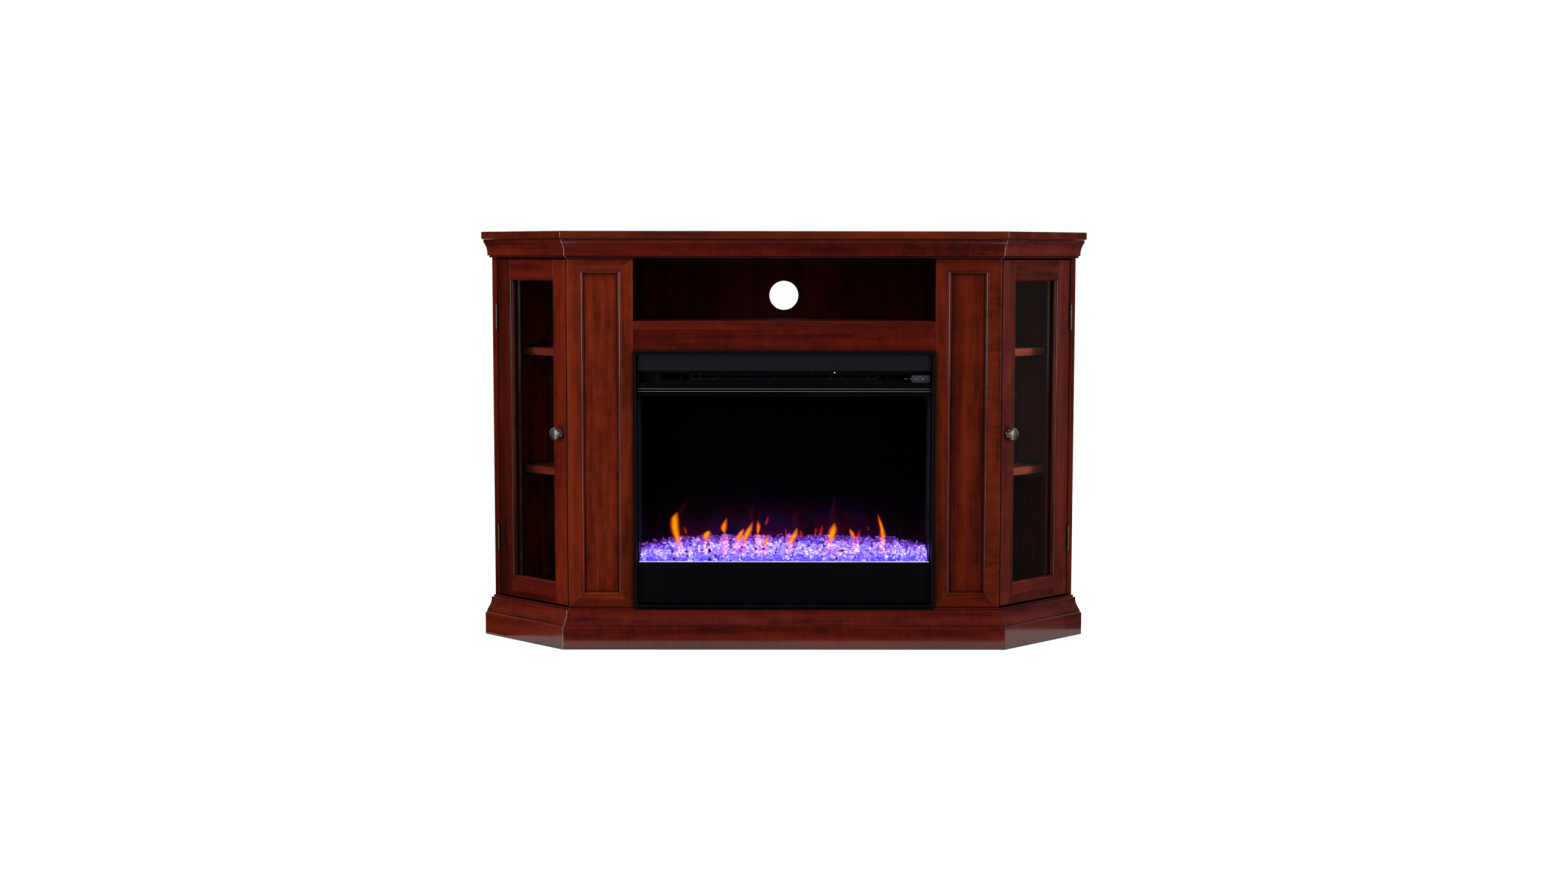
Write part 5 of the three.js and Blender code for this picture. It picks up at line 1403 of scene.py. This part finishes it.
# Electric insert
@dataclass
class InsertFace:
    """Steel face of the insert: panels, bars, outlet slot, control plate and its marks."""

    slot_half: float = 246.0
    slot_middle: float = 533.9
    slot_height: float = 12.0
    grille_front: float = 24.0
    lip_radius: float = 0.45  # of the rolled edge round the slot
    lip_out: float = 1.1
    lip_proud: float = 1.7
    bar_half: float = 288.0
    line_height: float = 1.05
    line_proud: float = 0.05
    line_easing: float = 0.15
    line_sunk: float = 0.5
    bars: tuple[tuple[str, float, float], ...] = (("outlet", 4.0, 510.92), ("glass", 5.0, 505.83))
    lens_at: tuple[float, float] = (99.0, 542.5)
    lens_radius: float = 1.5
    dome_radius: float = 1.1
    dash_starts: tuple[float, ...] = (236.0, 240.2)
    dash_length: float = 3.0
    dash_thick: float = 0.22
    dash_z: tuple[float, float] = (530.2, 531.0)
    button_z: float = 531.2
    button_front: float = 7.0
    button_heat: float = 272.1
    button_power: float = 258.1
    wave_pitch: float = 1.1
    wave_half: float = 1.6
    wave_swing: float = 0.35
    wave_stroke: float = 0.17
    ring_radius: float = 1.5
    ring_stroke: float = 0.2

    def dress_face(self) -> None:
        """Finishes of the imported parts."""
        dress(POWDER, "upper_panel", bevel_mm=0.4)
        dress(DEEP_POWDER, "lower_panel", "outlet_grille", bevel_mm=0.4)
        dress(SURROUND_TRIM, "firebox_surround", bevel_mm=0.35)
        dress(TRIM, "outlet_bar", "glass_bar", bevel_mm=0.35)
        dress(FRONT_GLASS, "front_glass")
        dress(GREY_ABS, "control_plate", bevel_mm=0.4)
        dress(GREY_ABS, "button_heat", "button_power", bevel_mm=0.3)

    def slot_liner(self) -> None:
        """Rolled edge round the outlet slot."""
        radius = self.slot_height / 2 + self.lip_out
        reach = self.slot_half - self.slot_height / 2
        path = []
        for sign, turn in ((1, -0.5), (-1, 0.5)):
            for n in range(13):
                angle = pi * (turn + n / 12)
                path.append((sign * reach + radius * cos(angle), self.grille_front - self.lip_proud,
                             self.slot_middle + radius * sin(angle)))
        piece = Workpiece("outlet_slot_rolled_edge")
        piece.tube(path, self.lip_radius, closed=True)
        piece.fit(ROLLED_TRIM)

    def burnished_lines(self) -> None:
        """Painted highlights: pale lines along the outlet bar's lower arris and the glass bar's upper one."""
        for name, front, low in self.bars:
            high = low + self.line_height
            piece = Workpiece(f"{name}_bar_burnished_line")
            face, back, easing = front - self.line_proud, front + self.line_sunk, self.line_easing
            piece.length([(face, low + easing), (face + easing, low), (back, low), (back, high),
                          (face + easing, high), (face, high - easing)], -self.bar_half, self.bar_half)
            piece.fit(PALE_LINE_PAINT)

    def marks(self) -> None:
        """Signal lens and level dashes."""
        lens = Workpiece("signal_lens")
        dome = swept(6, lambda t: (
            max(self.dome_radius * cos(pi / 2 * t), 0.15), 0.3 + 0.9 * sin(pi / 2 * t)))
        x, z = self.lens_at
        lens.turned([(self.lens_radius, -0.4), (self.lens_radius, 0.25), *dome],
                    (x, self.grille_front, z), Axis.FORWARD, 20)
        lens.fit(LENS)
        dashes = Workpiece("level_dashes")
        low, high = self.dash_z
        back = self.grille_front - 1.4
        for x in self.dash_starts:
            dashes.block((x, back - self.dash_thick, low), (x + self.dash_length, back, high))
        dashes.fit(PRINT)

    def button_signs(self) -> None:
        """Three rising waves on one button, and an open ring with a stroke on the other."""
        y, z = self.button_front - 0.02, self.button_z
        heat = Workpiece("button_sign_heat")
        half = self.wave_half
        for x in (self.button_heat + shift for shift in (-self.wave_pitch, 0.0, self.wave_pitch)):
            heat.tube([(x + self.wave_swing * sin(2 * pi * n / 10), y, z - half + 2 * half * n / 12)
                       for n in range(13)], self.wave_stroke)
        heat.fit(PRINT, "button_heat")
        power, x = Workpiece("button_sign_power"), self.button_power
        turns = [radians(40 + 280 * n / 20) for n in range(21)]
        ring = self.ring_radius
        power.tube([(x + ring * sin(turn), y, z + ring * cos(turn)) for turn in turns], self.ring_stroke)
        power.tube([(x, y, z + 0.2), (x, y, z + 2.0)], self.ring_stroke)
        power.fit(PRINT, "button_power")

    def build(self) -> None:
        """The whole face."""
        self.dress_face()
        self.slot_liner()
        self.burnished_lines()
        self.marks()
        self.button_signs()


@dataclass
class InsertBox:
    """Shell of the insert with what turns and heats inside it, and its back."""

    back: float = 236.0
    louvre_pitch: float = 62.0
    louvre_half: float = 22.0
    louvre_rows: int = 6
    louvre_proud: float = 3.4
    louvre_height: float = 5.0
    louvre_z: float = 430.0
    louvre_step: float = 14.0
    screw_radius: float = 3.2
    screw_xs: tuple[float, ...] = (-240.0, -120.0, 0.0, 120.0, 240.0)
    screw_zs: tuple[float, ...] = (140.0, 545.0)

    def build(self) -> None:
        """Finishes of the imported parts, and the louvres and screws that the service window shows."""
        for finish, node, bevel in (
                (FIREBOX_PAINT, "firebox_shell", 0.0), (FOIL, "flame_rotor", 0.0),
                (SHEET, "rotor_cradle", 0.3), (BLACK_ABS, "fan_wheel", 0.0),
                (DEEP_POWDER, "fan_casing", 0.0), (SHEET, "heating_element", 0.0),
                (BLACK_ABS, "cord_gland", 0.3)):
            dress(finish, node, bevel_mm=bevel)
        louvres = Workpiece("shell_back_louvres")
        root, lip = self.back - 0.2, self.back + self.louvre_proud
        for x in (column * self.louvre_pitch for column in (-3, -2, -1, 1, 2, 3)):
            for z in (self.louvre_z + row * self.louvre_step for row in range(self.louvre_rows)):
                section = [(root, z), (lip, z - 0.8), (lip + 0.2, z - 0.2), (root, z + self.louvre_height)]
                louvres.length(section, x - self.louvre_half, x + self.louvre_half)
        louvres.fit(DEEP_POWDER, bevel_mm=0.3)
        screws = Workpiece("shell_back_screws")
        for x in self.screw_xs:
            for z in self.screw_zs:
                screws.screw((x, self.back - 0.05, z), self.screw_radius, Axis.BACKWARD)
        screws.fit(ZINC)


def blend(low: Sequence[float], high: Sequence[float], share: float) -> list[float]:
    """Red, green and blue part of the way from one colour to another."""
    return [a + (b - a) * share for a, b in zip(low[:3], high[:3])]


def held(value: float, low: float, high: float) -> float:
    """The value, kept between two limits."""
    return min(max(value, low), high)


@dataclass
class FlameBed:
    """Crystals on their lit tray, and the picture of flames on the screen behind them."""

    half: float = 285.9
    tray_top: float = 162.8
    front: float = 14.3
    back: float = 105.7
    heap_middle: float = 50.0
    heap_end: float = 33.0
    rows: int = 9
    columns: int = 70
    chunk_sizes: tuple[float, float] = (4.0, 7.6)
    # The facets' light is painted glow. Facets turn pale from a height over the tray, and purple from a place
    # between the front, 0, and the screen, 1. A flame's painted glow lights the chunks round its foot.
    pale_from: float = 10.0
    pale_rise: float = 12.0
    rear_from: float = 0.3
    rear_run: float = 0.25
    warm_reach: float = 9.0
    warm_from: float = 20.0
    # Steps on the ramps from dark to bright: the usual one, and what differs by chunk and by facet.
    usual_step: float = 1.55
    chunk_scatter: float = 0.6
    facet_scatter: float = 0.9
    flame_depth: float = 42.0
    flame_reach: float = 1.45  # width of a tongue's leaf over its flame
    strip_half: float = 286.0
    seed: int = 7
    # Colours from dark to bright: of a facet low in front, pale on top, at the rear and by a flame.
    facet_ramps: tuple[tuple[str, ...], ...] = (
        ("#140a78", "#3a28d8", "#7660fa", "#b4a8ff", "#ffffff"),
        ("#24107c", "#6c48dc", "#ae8cf6", "#e4ccff", "#ffffff"),
        ("#0c0218", "#2c0846", "#70207e", "#b44cbc", "#f0a8e4"),
        ("#6a1040", "#d04088", "#fa84b4", "#ffc8d4", "#ffffff"))
    flame_ramp: tuple[str, ...] = ("#4a0602", "#c41602", "#fa3c00", "#ff7800", "#ffb008", "#ffe9b0")
    # Tongues of flame as (x, z, half width) from the tip down.
    bright: tuple[Tongue, ...] = (
        ((-211.6, 264.5, 1.8), (-216.8, 253.1, 7.3), (-216.9, 233.5, 8.3), (-212.8, 214.0, 6.7),
         (-208.0, 194.5, 3.6)),
        ((-149.0, 227.5, 2.4), (-153.3, 220.1, 7.9), (-156.4, 209.1, 7.3)),
        ((-113.2, 253.2, 1.2), (-118.7, 238.5, 5.6), (-120.0, 228.8, 5.5), (-117.5, 221.4, 1.2)),
        ((-79.9, 231.2, 1.8), (-87.3, 219.0, 6.1), (-93.3, 204.3, 4.9)),
        ((-62.4, 244.6, 1.8), (-69.0, 228.8, 6.1), (-75.1, 216.6, 6.7), (-79.9, 201.9, 4.9)),
        ((-52.1, 248.3, 1.2), (-50.9, 236.1, 4.4), (-51.5, 226.4, 3.4), (-52.1, 216.6, 1.0)),
        ((-31.5, 215.4, 1.2), (-35.1, 205.6, 6.1), (-38.7, 193.4, 4.9)),
        ((26.1, 233.7, 1.5), (21.8, 219.1, 6.1), (14.6, 206.9, 7.3), (11.0, 194.6, 5.5)),
        ((100.6, 243.5, 1.8), (97.7, 228.9, 7.9), (94.7, 214.2, 6.7), (92.3, 197.2, 4.9)),
        ((131.0, 231.3, 1.2), (135.2, 221.6, 4.9), (140.8, 210.6, 1.8)),
        ((186.6, 259.5, 1.8), (190.3, 246.1, 3.2), (194.6, 231.4, 3.9), (196.5, 218.0, 6.1),
         (196.6, 204.6, 4.9)),
    )
    faint: tuple[Tongue, ...] = (
        ((-199.0, 236.0, 1.2), (-195.7, 226.2, 2.9), (-193.9, 218.9, 1.2)),
        ((-135.7, 211.6, 1.2), (-134.6, 203.1, 2.4)),
        ((-31.5, 256.9, 1.2), (-34.0, 245.9, 3.6), (-36.3, 237.4, 1.8)),
        ((3.7, 231.2, 1.2), (3.7, 217.9, 2.4)),
        ((31.6, 228.9, 1.2), (34.0, 221.5, 4.1), (34.0, 213.0, 2.4)),
        ((63.1, 235.0, 1.2), (63.1, 225.2, 2.7), (61.9, 216.7, 1.2)),
        ((76.3, 239.9, 1.2), (74.0, 226.5, 3.9), (71.6, 214.2, 3.0)),
        ((151.6, 231.4, 1.2), (148.0, 219.2, 4.1), (144.4, 207.0, 3.6), (143.2, 198.3, 2.4)),
        ((167.9, 236.3, 1.0), (167.3, 227.8, 1.9)),
        ((182.6, 205.8, 1.2), (182.7, 197.2, 2.4)),
    )
    wisps: tuple[Tongue, ...] = (
        ((-190.1, 290.3, 2.4), (-201.1, 275.1, 5.5), (-207.1, 256.9, 5.0)),
        ((103.4, 296.3, 1.2), (95.7, 268.0, 5.5), (96.5, 244.9, 6.0)),
        ((-59.6, 279.4, 1.2), (-65.6, 262.6, 5.0), (-65.6, 240.8, 5.0)),
        ((29.6, 272.5, 1.2), (21.6, 252.7, 6.0), (21.6, 230.9, 5.0)),
    )

    def heap_height(self, across: float, back: float) -> float:
        """Height of the heap over the tray.

        Args:
            across: Place from the left end, -1, to the right end, 1.
            back: Place from the front, 0, to the screen, 1.

        Returns:
            Height in millimetres.
        """
        dome = self.heap_end + (self.heap_middle - self.heap_end) * (1 - across ** 4)
        return dome * (0.62 + 0.38 * sin(pi / 2 * min(1.0, 1.6 * back)))

    def facet_light(self, rng: random.Random, back: float, height: float, tone: float,
                    flame_glow: float) -> Colour:
        """Light that one facet shows.

        Args:
            rng: Seeded draw.
            back: Place from the front, 0, to the screen, 1.
            height: Height of the facet over the tray in millimetres.
            tone: How much lighter the whole chunk is than its neighbours.
            flame_glow: Painted glow of a flame, 1 right at its foot, 0 away from it.

        Returns:
            Linear colour; the alpha is 1.
        """
        pale = held((height - self.pale_from) / self.pale_rise, 0.0, 1.0)
        rear = held((back - self.rear_from) / self.rear_run, 0.0, 1.0)
        step = self.usual_step + 0.4 * pale - 1.0 * rear + 0.5 * flame_glow + tone
        level = held(step + rng.gauss(0, self.facet_scatter), 0.0, 3.999)
        low, share = int(level), level % 1
        mixed, lilac, purple, rose = (
            blend(linear(ramp[low]), linear(ramp[low + 1]), share) for ramp in self.facet_ramps)
        for colour, part in ((lilac, pale), (purple, rear), (rose, flame_glow)):
            mixed = blend(mixed, colour, part)
        return (*mixed, 1.0)

    def chunk_places(self, rng: random.Random) -> list[tuple[float, float, float, float]]:
        """Places of the chunks, in rows from the front to the screen.

        Args:
            rng: Seeded draw.

        Returns:
            X, Y, Z and size of every chunk.
        """
        places = []
        depth = self.back - self.front
        for row in range(self.rows):
            back = (row + 0.5) / self.rows
            layers = 7 if row == 0 else 4 if row < 3 else 2
            for column in range(self.columns):
                across = 2 * (column + 0.5 + rng.uniform(-0.5, 0.5)) / self.columns - 1
                top = self.heap_height(across, back) + rng.uniform(-4, 4)
                for layer in range(layers):
                    size = rng.uniform(*self.chunk_sizes)
                    x = across * (self.half + 2) + rng.uniform(-4, 4)
                    y = self.front + depth * back + rng.uniform(-3, 3)
                    z = self.tray_top + max(size, top * (1 - layer / max(layers, 5)) - size)
                    places.append((held(x, size - self.half, self.half - size),
                                   held(y, self.front + size, self.back - size),
                                   max(z, self.tray_top + size + 0.2), size))
        return places

    def crystals(self) -> None:
        """Some 2,500 chunks, each the hull of a few points, on and in the heap."""
        rng = random.Random(self.seed)
        piece = Workpiece("acrylic_crystals")
        glow = piece.mesh.loops.layers.float_color.new("glow")
        feet = [points[-1][0] for points in self.bright]
        for x, y, z, size in self.chunk_places(rng):
            stretch = (rng.uniform(0.75, 1.0), rng.uniform(0.7, 1.0), rng.uniform(0.65, 1.0))
            hull = bmesh.new()
            for _ in range(rng.randint(9, 13)):
                ray = Vector((rng.gauss(0, 1), rng.gauss(0, 1), rng.gauss(0, 1))).normalized()
                spot = [c * s * size for c, s in zip(ray, stretch)]
                hull.verts.new(front_place(x + spot[0], y + spot[1], z + spot[2]))
            bmesh.ops.convex_hull(hull, input=hull.verts)
            tone = rng.gauss(0, self.chunk_scatter)
            height = z - self.tray_top
            near = 1 - min(abs(x - foot) for foot in feet) / self.warm_reach
            flame_glow = max(0.0, near) if height > self.warm_from else 0.0
            corners = {vert: piece.mesh.verts.new(vert.co) for vert in hull.verts if vert.link_faces}
            for facet in hull.faces:
                face = piece.mesh.faces.new([corners[vert] for vert in facet.verts])
                back = (y - self.front) / (self.back - self.front)
                light = self.facet_light(rng, back, height, tone, flame_glow)
                for loop in face.loops:
                    loop[glow] = light
            hull.free()
        piece.fit(CRYSTAL, replaces=("crystals",), smooth_deg=1)

    def tongue(self, mesh: bmesh.types.BMesh, layer: bmesh.types.BMLayerItem, points: Tongue,
               heat: float) -> None:
        """One tongue as a bent leaf whose colour and cover fade to its rim.

        Args:
            mesh: Mesh that takes it.
            layer: Its colour layer.
            points: (x, z, half width) from the tip down.
            heat: 1 for a bright tongue, less for a faint one.
        """
        rows, columns = 16, 9
        grid = []
        for down in (n / (rows - 1) for n in range(rows)):
            x, z, half_width = self.on_spine(points, down)
            line = []
            for side in (2 * k / (columns - 1) - 1 for k in range(columns)):
                y = self.flame_depth - 1.5 * (1 - side * side)
                vert = mesh.verts.new(front_place(x + side * (self.flame_reach * half_width), y, z))
                line.append((vert, self.flame_light(max(0.0, 1 - abs(side) ** 1.3), down, heat)))
            grid.append(line)
        for upper, lower in zip(grid, grid[1:]):
            for k in range(columns - 1):
                corners = (upper[k], lower[k], lower[k + 1], upper[k + 1])
                face = mesh.faces.new([vert for vert, _ in corners])
                for loop, (_, light) in zip(face.loops, corners):
                    loop[layer] = light

    @staticmethod
    def on_spine(points: Tongue, t: float) -> Point:
        """A smooth point on a tongue's middle line.

        Args:
            points: (x, z, half width) from the tip down.
            t: Place from the tip, 0, to the foot, 1.

        Returns:
            X, Z and half width there.
        """
        last = len(points) - 1
        n = min(int(t * last), last - 1)
        f = t * last - n
        around = (points[max(n - 1, 0)], points[n], points[n + 1], points[min(n + 2, last)])
        return tuple(0.5 * (2 * q + (r - p) * f + (2 * p - 5 * q + 4 * r - s) * f * f
                            + (3 * q - p - 3 * r + s) * f ** 3) for p, q, r, s in zip(*around))

    def flame_light(self, core: float, down: float, heat: float) -> Colour:
        """Colour and cover of a tongue.

        Args:
            core: Place from the rim, 0, to the middle line, 1.
            down: Place from the tip, 0, to the foot, 1.
            heat: 1 for a bright tongue, less for a faint one.

        Returns:
            Linear colour, with the cover as its alpha.
        """
        swell = sin(pi * min(1.0, 0.1 + 0.8 * down)) ** 0.8
        level = min(4.5 * core * (0.4 + 0.6 * swell) * heat, 3.8)
        level = min(level + 6.0 * max(0.0, down - 0.82) * core * heat, 4.999)
        low = int(level)
        colour = blend(linear(self.flame_ramp[low]), linear(self.flame_ramp[low + 1]), level % 1)
        rim = min(1.0, 1.2 * core) ** 1.5
        ends = min(1.0, 3.2 * down + 0.02) * min(1.0, 0.1 + 4 * (1 - down))
        return (*colour, rim * ends * min(1.0, 1.3 * heat))

    def flames(self) -> None:
        """All tongues as one picture."""
        mesh = bmesh.new()
        layer = mesh.loops.layers.float_color.new("glow")
        for points in self.bright:
            # A slim tongue burns redder than a broad one.
            self.tongue(mesh, layer, points, min(1.0, 0.45 + 0.075 * max(point[2] for point in points)))
        for tongues, heat in ((self.faint, 0.38), (self.wisps, 0.07)):
            for points in tongues:
                self.tongue(mesh, layer, points, heat)
        carried("flame_picture", mesh, FLAME, "case")

    def build(self) -> None:
        """Everything seen through the front glass, and the glass's lit foot."""
        dress(SCREEN, "flame_screen")
        dress(TRAY_ACRYLIC, "crystal_tray")
        dress(MASK, "led_board")
        self.crystals()
        self.flames()
        # Painted glow along the front glass's foot.
        strip = Workpiece("glass_foot_strip")
        strip.length([(6.4, 168.75), (7.7, 168.75), (7.7, 170.1), (6.9, 170.1), (6.4, 169.6)],
                     -self.strip_half, self.strip_half)
        strip.fit(GLASS_EDGE, bevel_mm=0.15)


# Studio
@dataclass
class Studio:
    """Camera, lamps, white surroundings and floor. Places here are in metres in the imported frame."""

    camera_at: Point = (-0.0183, -4.1838, 0.770)
    pitch_deg: float = 5.061
    yaw_deg: float = 0.252
    roll_deg: float = -0.080
    lens_mm: float = 47.82
    sensor_mm: float = 36.0
    fill: float = 0.16
    aim: Point = (0.0, 0.0, 0.42)
    lamps: tuple[tuple[str, Point, tuple[float, float], float], ...] = (
        ("softbox_left", (-2.3, -2.5, 1.4), (0.9, 2.2), 46.0),
        ("softbox_right", (2.5, -2.2, 1.3), (0.9, 2.0), 38.0),
        ("softbox_top", (0.0, -1.4, 2.9), (3.0, 1.8), 26.0),
    )
    floor_half: float = 30.0
    card_foot: float = 0.004
    card_head: float = 3.4
    # Outlines on the floor of the lying cards, and lines on it over which the upright ones stand.
    lying: tuple[tuple[str, Cloth, tuple[tuple[float, float], ...]], ...] = (
        ("flag_floor", BLACK_CLOTH, ((-2.6, -5.4), (2.6, -5.4), (0.47, -0.21), (-0.47, -0.21))),
        ("flag_floor_left", BLACK_CLOTH, ((-3.6, -2.2), (-0.56, -0.12), (-0.66, 2.4), (-3.6, 2.4))),
        ("flag_floor_right", DARK_CLOTH, ((3.6, -2.2), (3.6, 2.4), (0.73, 2.4), (0.635, -0.12))),
    )
    upright: tuple[tuple[str, Cloth, tuple[tuple[float, float], ...]], ...] = (
        ("flag_front", BLACK_CLOTH, ((-2.6, -5.4), (2.6, -5.4))),
        ("flag_left", BLACK_CLOTH, ((-3.6, -2.2), (-3.6, 2.4))),
        ("flag_right", GREY_CLOTH, ((3.6, 2.4), (3.6, -2.2))),
    )
    overhead: tuple[tuple[float, float], ...] = ((-3.6, -5.4), (3.6, -5.4), (3.6, 0.2), (-3.6, 0.2))

    def camera(self) -> None:
        """The camera, by its pitch, yaw and roll."""
        pitch, yaw, roll = (radians(a) for a in (self.pitch_deg, self.yaw_deg, self.roll_deg))
        ahead = Vector((sin(yaw) * cos(pitch), cos(yaw) * cos(pitch), -sin(pitch)))
        level = Vector((cos(yaw), -sin(yaw), 0.0))
        down = ahead.cross(level)
        right = cos(roll) * level + sin(roll) * down
        up = sin(roll) * level - cos(roll) * down
        data = bpy.data.cameras.new("camera")
        data.lens, data.sensor_width = self.lens_mm, self.sensor_mm
        data.clip_start, data.clip_end = 0.05, 200.0
        made = linked("camera", data)
        turn = Matrix((right, up, -ahead)).transposed().to_4x4()
        made.matrix_world = Matrix.Translation(self.camera_at) @ turn
        bpy.context.scene.camera = made

    def light(self) -> None:
        """Softboxes that look at the middle of the console."""
        for name, at, (width, height), power in self.lamps:
            data = bpy.data.lights.new(name, "AREA")
            data.shape, data.size, data.size_y, data.energy = "RECTANGLE", width, height, power
            made = linked(name, data)
            made.location = at
            made.rotation_euler = (Vector(self.aim) - Vector(at)).to_track_quat("-Z", "Y").to_euler()
            # The overhead box gives light only: its mirror image would draw a pale band on every moulding.
            made.visible_glossy = name != "softbox_top"

    def surroundings(self) -> None:
        """White all round to the eye, and a low even fill for the light."""
        world = bpy.data.worlds.new("studio")
        world.use_nodes = True
        tree = world.node_tree
        tree.nodes.clear()
        strength = add_node(tree, "MapRange", {"Value": seen(tree), "To Min": self.fill, "To Max": 1.0})
        white = add_node(tree, "Background", {"Color": linear("#ffffff"), "Strength": strength})
        add_node(tree, "OutputWorld", {"Surface": white})
        bpy.context.scene.world = world

    def sheet(self, name: str, corners: Sequence[Point], finish: Finish) -> bpy.types.Object:
        """A flat stage sheet.

        Args:
            name: The object's name.
            corners: Its corners, in metres.
            finish: Its surface.

        Returns:
            The object.
        """
        data = bpy.data.meshes.new(name)
        data.from_pydata(corners, [], [tuple(range(len(corners)))])
        data.materials.append(finish.material())
        made = linked(name, data)
        return made

    def cards(self) -> None:
        """Dark cards in front, overhead, at both sides and on the floor.

        They keep the white surroundings out of the wood's gloss. The camera doesn't see them, and they stay
        out of diffuse light and shadows. The ones on the right glow a little.
        """
        low, high = self.card_foot, self.card_head
        sheets = [(name, [(x, y, low) for x, y in outline], cloth) for name, cloth, outline in self.lying]
        sheets += [(name, [(*a, 0.0), (*b, 0.0), (*b, high), (*a, high)], cloth)
                   for name, cloth, (a, b) in self.upright]
        sheets.append(("flag_top", [(x, y, high) for x, y in self.overhead], BLACK_CLOTH))
        for sheet in sheets:
            card = self.sheet(*sheet)
            card.visible_camera = card.visible_diffuse = card.visible_shadow = False

    def build(self) -> None:
        """The whole studio."""
        self.camera()
        self.light()
        self.surroundings()
        half = self.floor_half
        self.sheet("floor", [(-half, -half, 0), (half, -half, 0), (half, half, 0), (-half, half, 0)], VINYL)
        self.cards()
        bpy.context.scene.view_settings.view_transform = "Standard"


def main() -> None:
    """Builds the studio and the console, sub-assembly by sub-assembly."""
    logging.basicConfig(level=logging.INFO, format="%(message)s")
    parts = (Studio(), Case(), Mouldings(), *(Pilaster(hand) for hand in Hand),
             *(CornerDoor(hand) for hand in Hand), InsertFace(), InsertBox(), FlameBed())
    for part in parts:
        LOG.info("building %s", type(part).__name__)
        part.build()


if __name__ == "__main__":
    main()
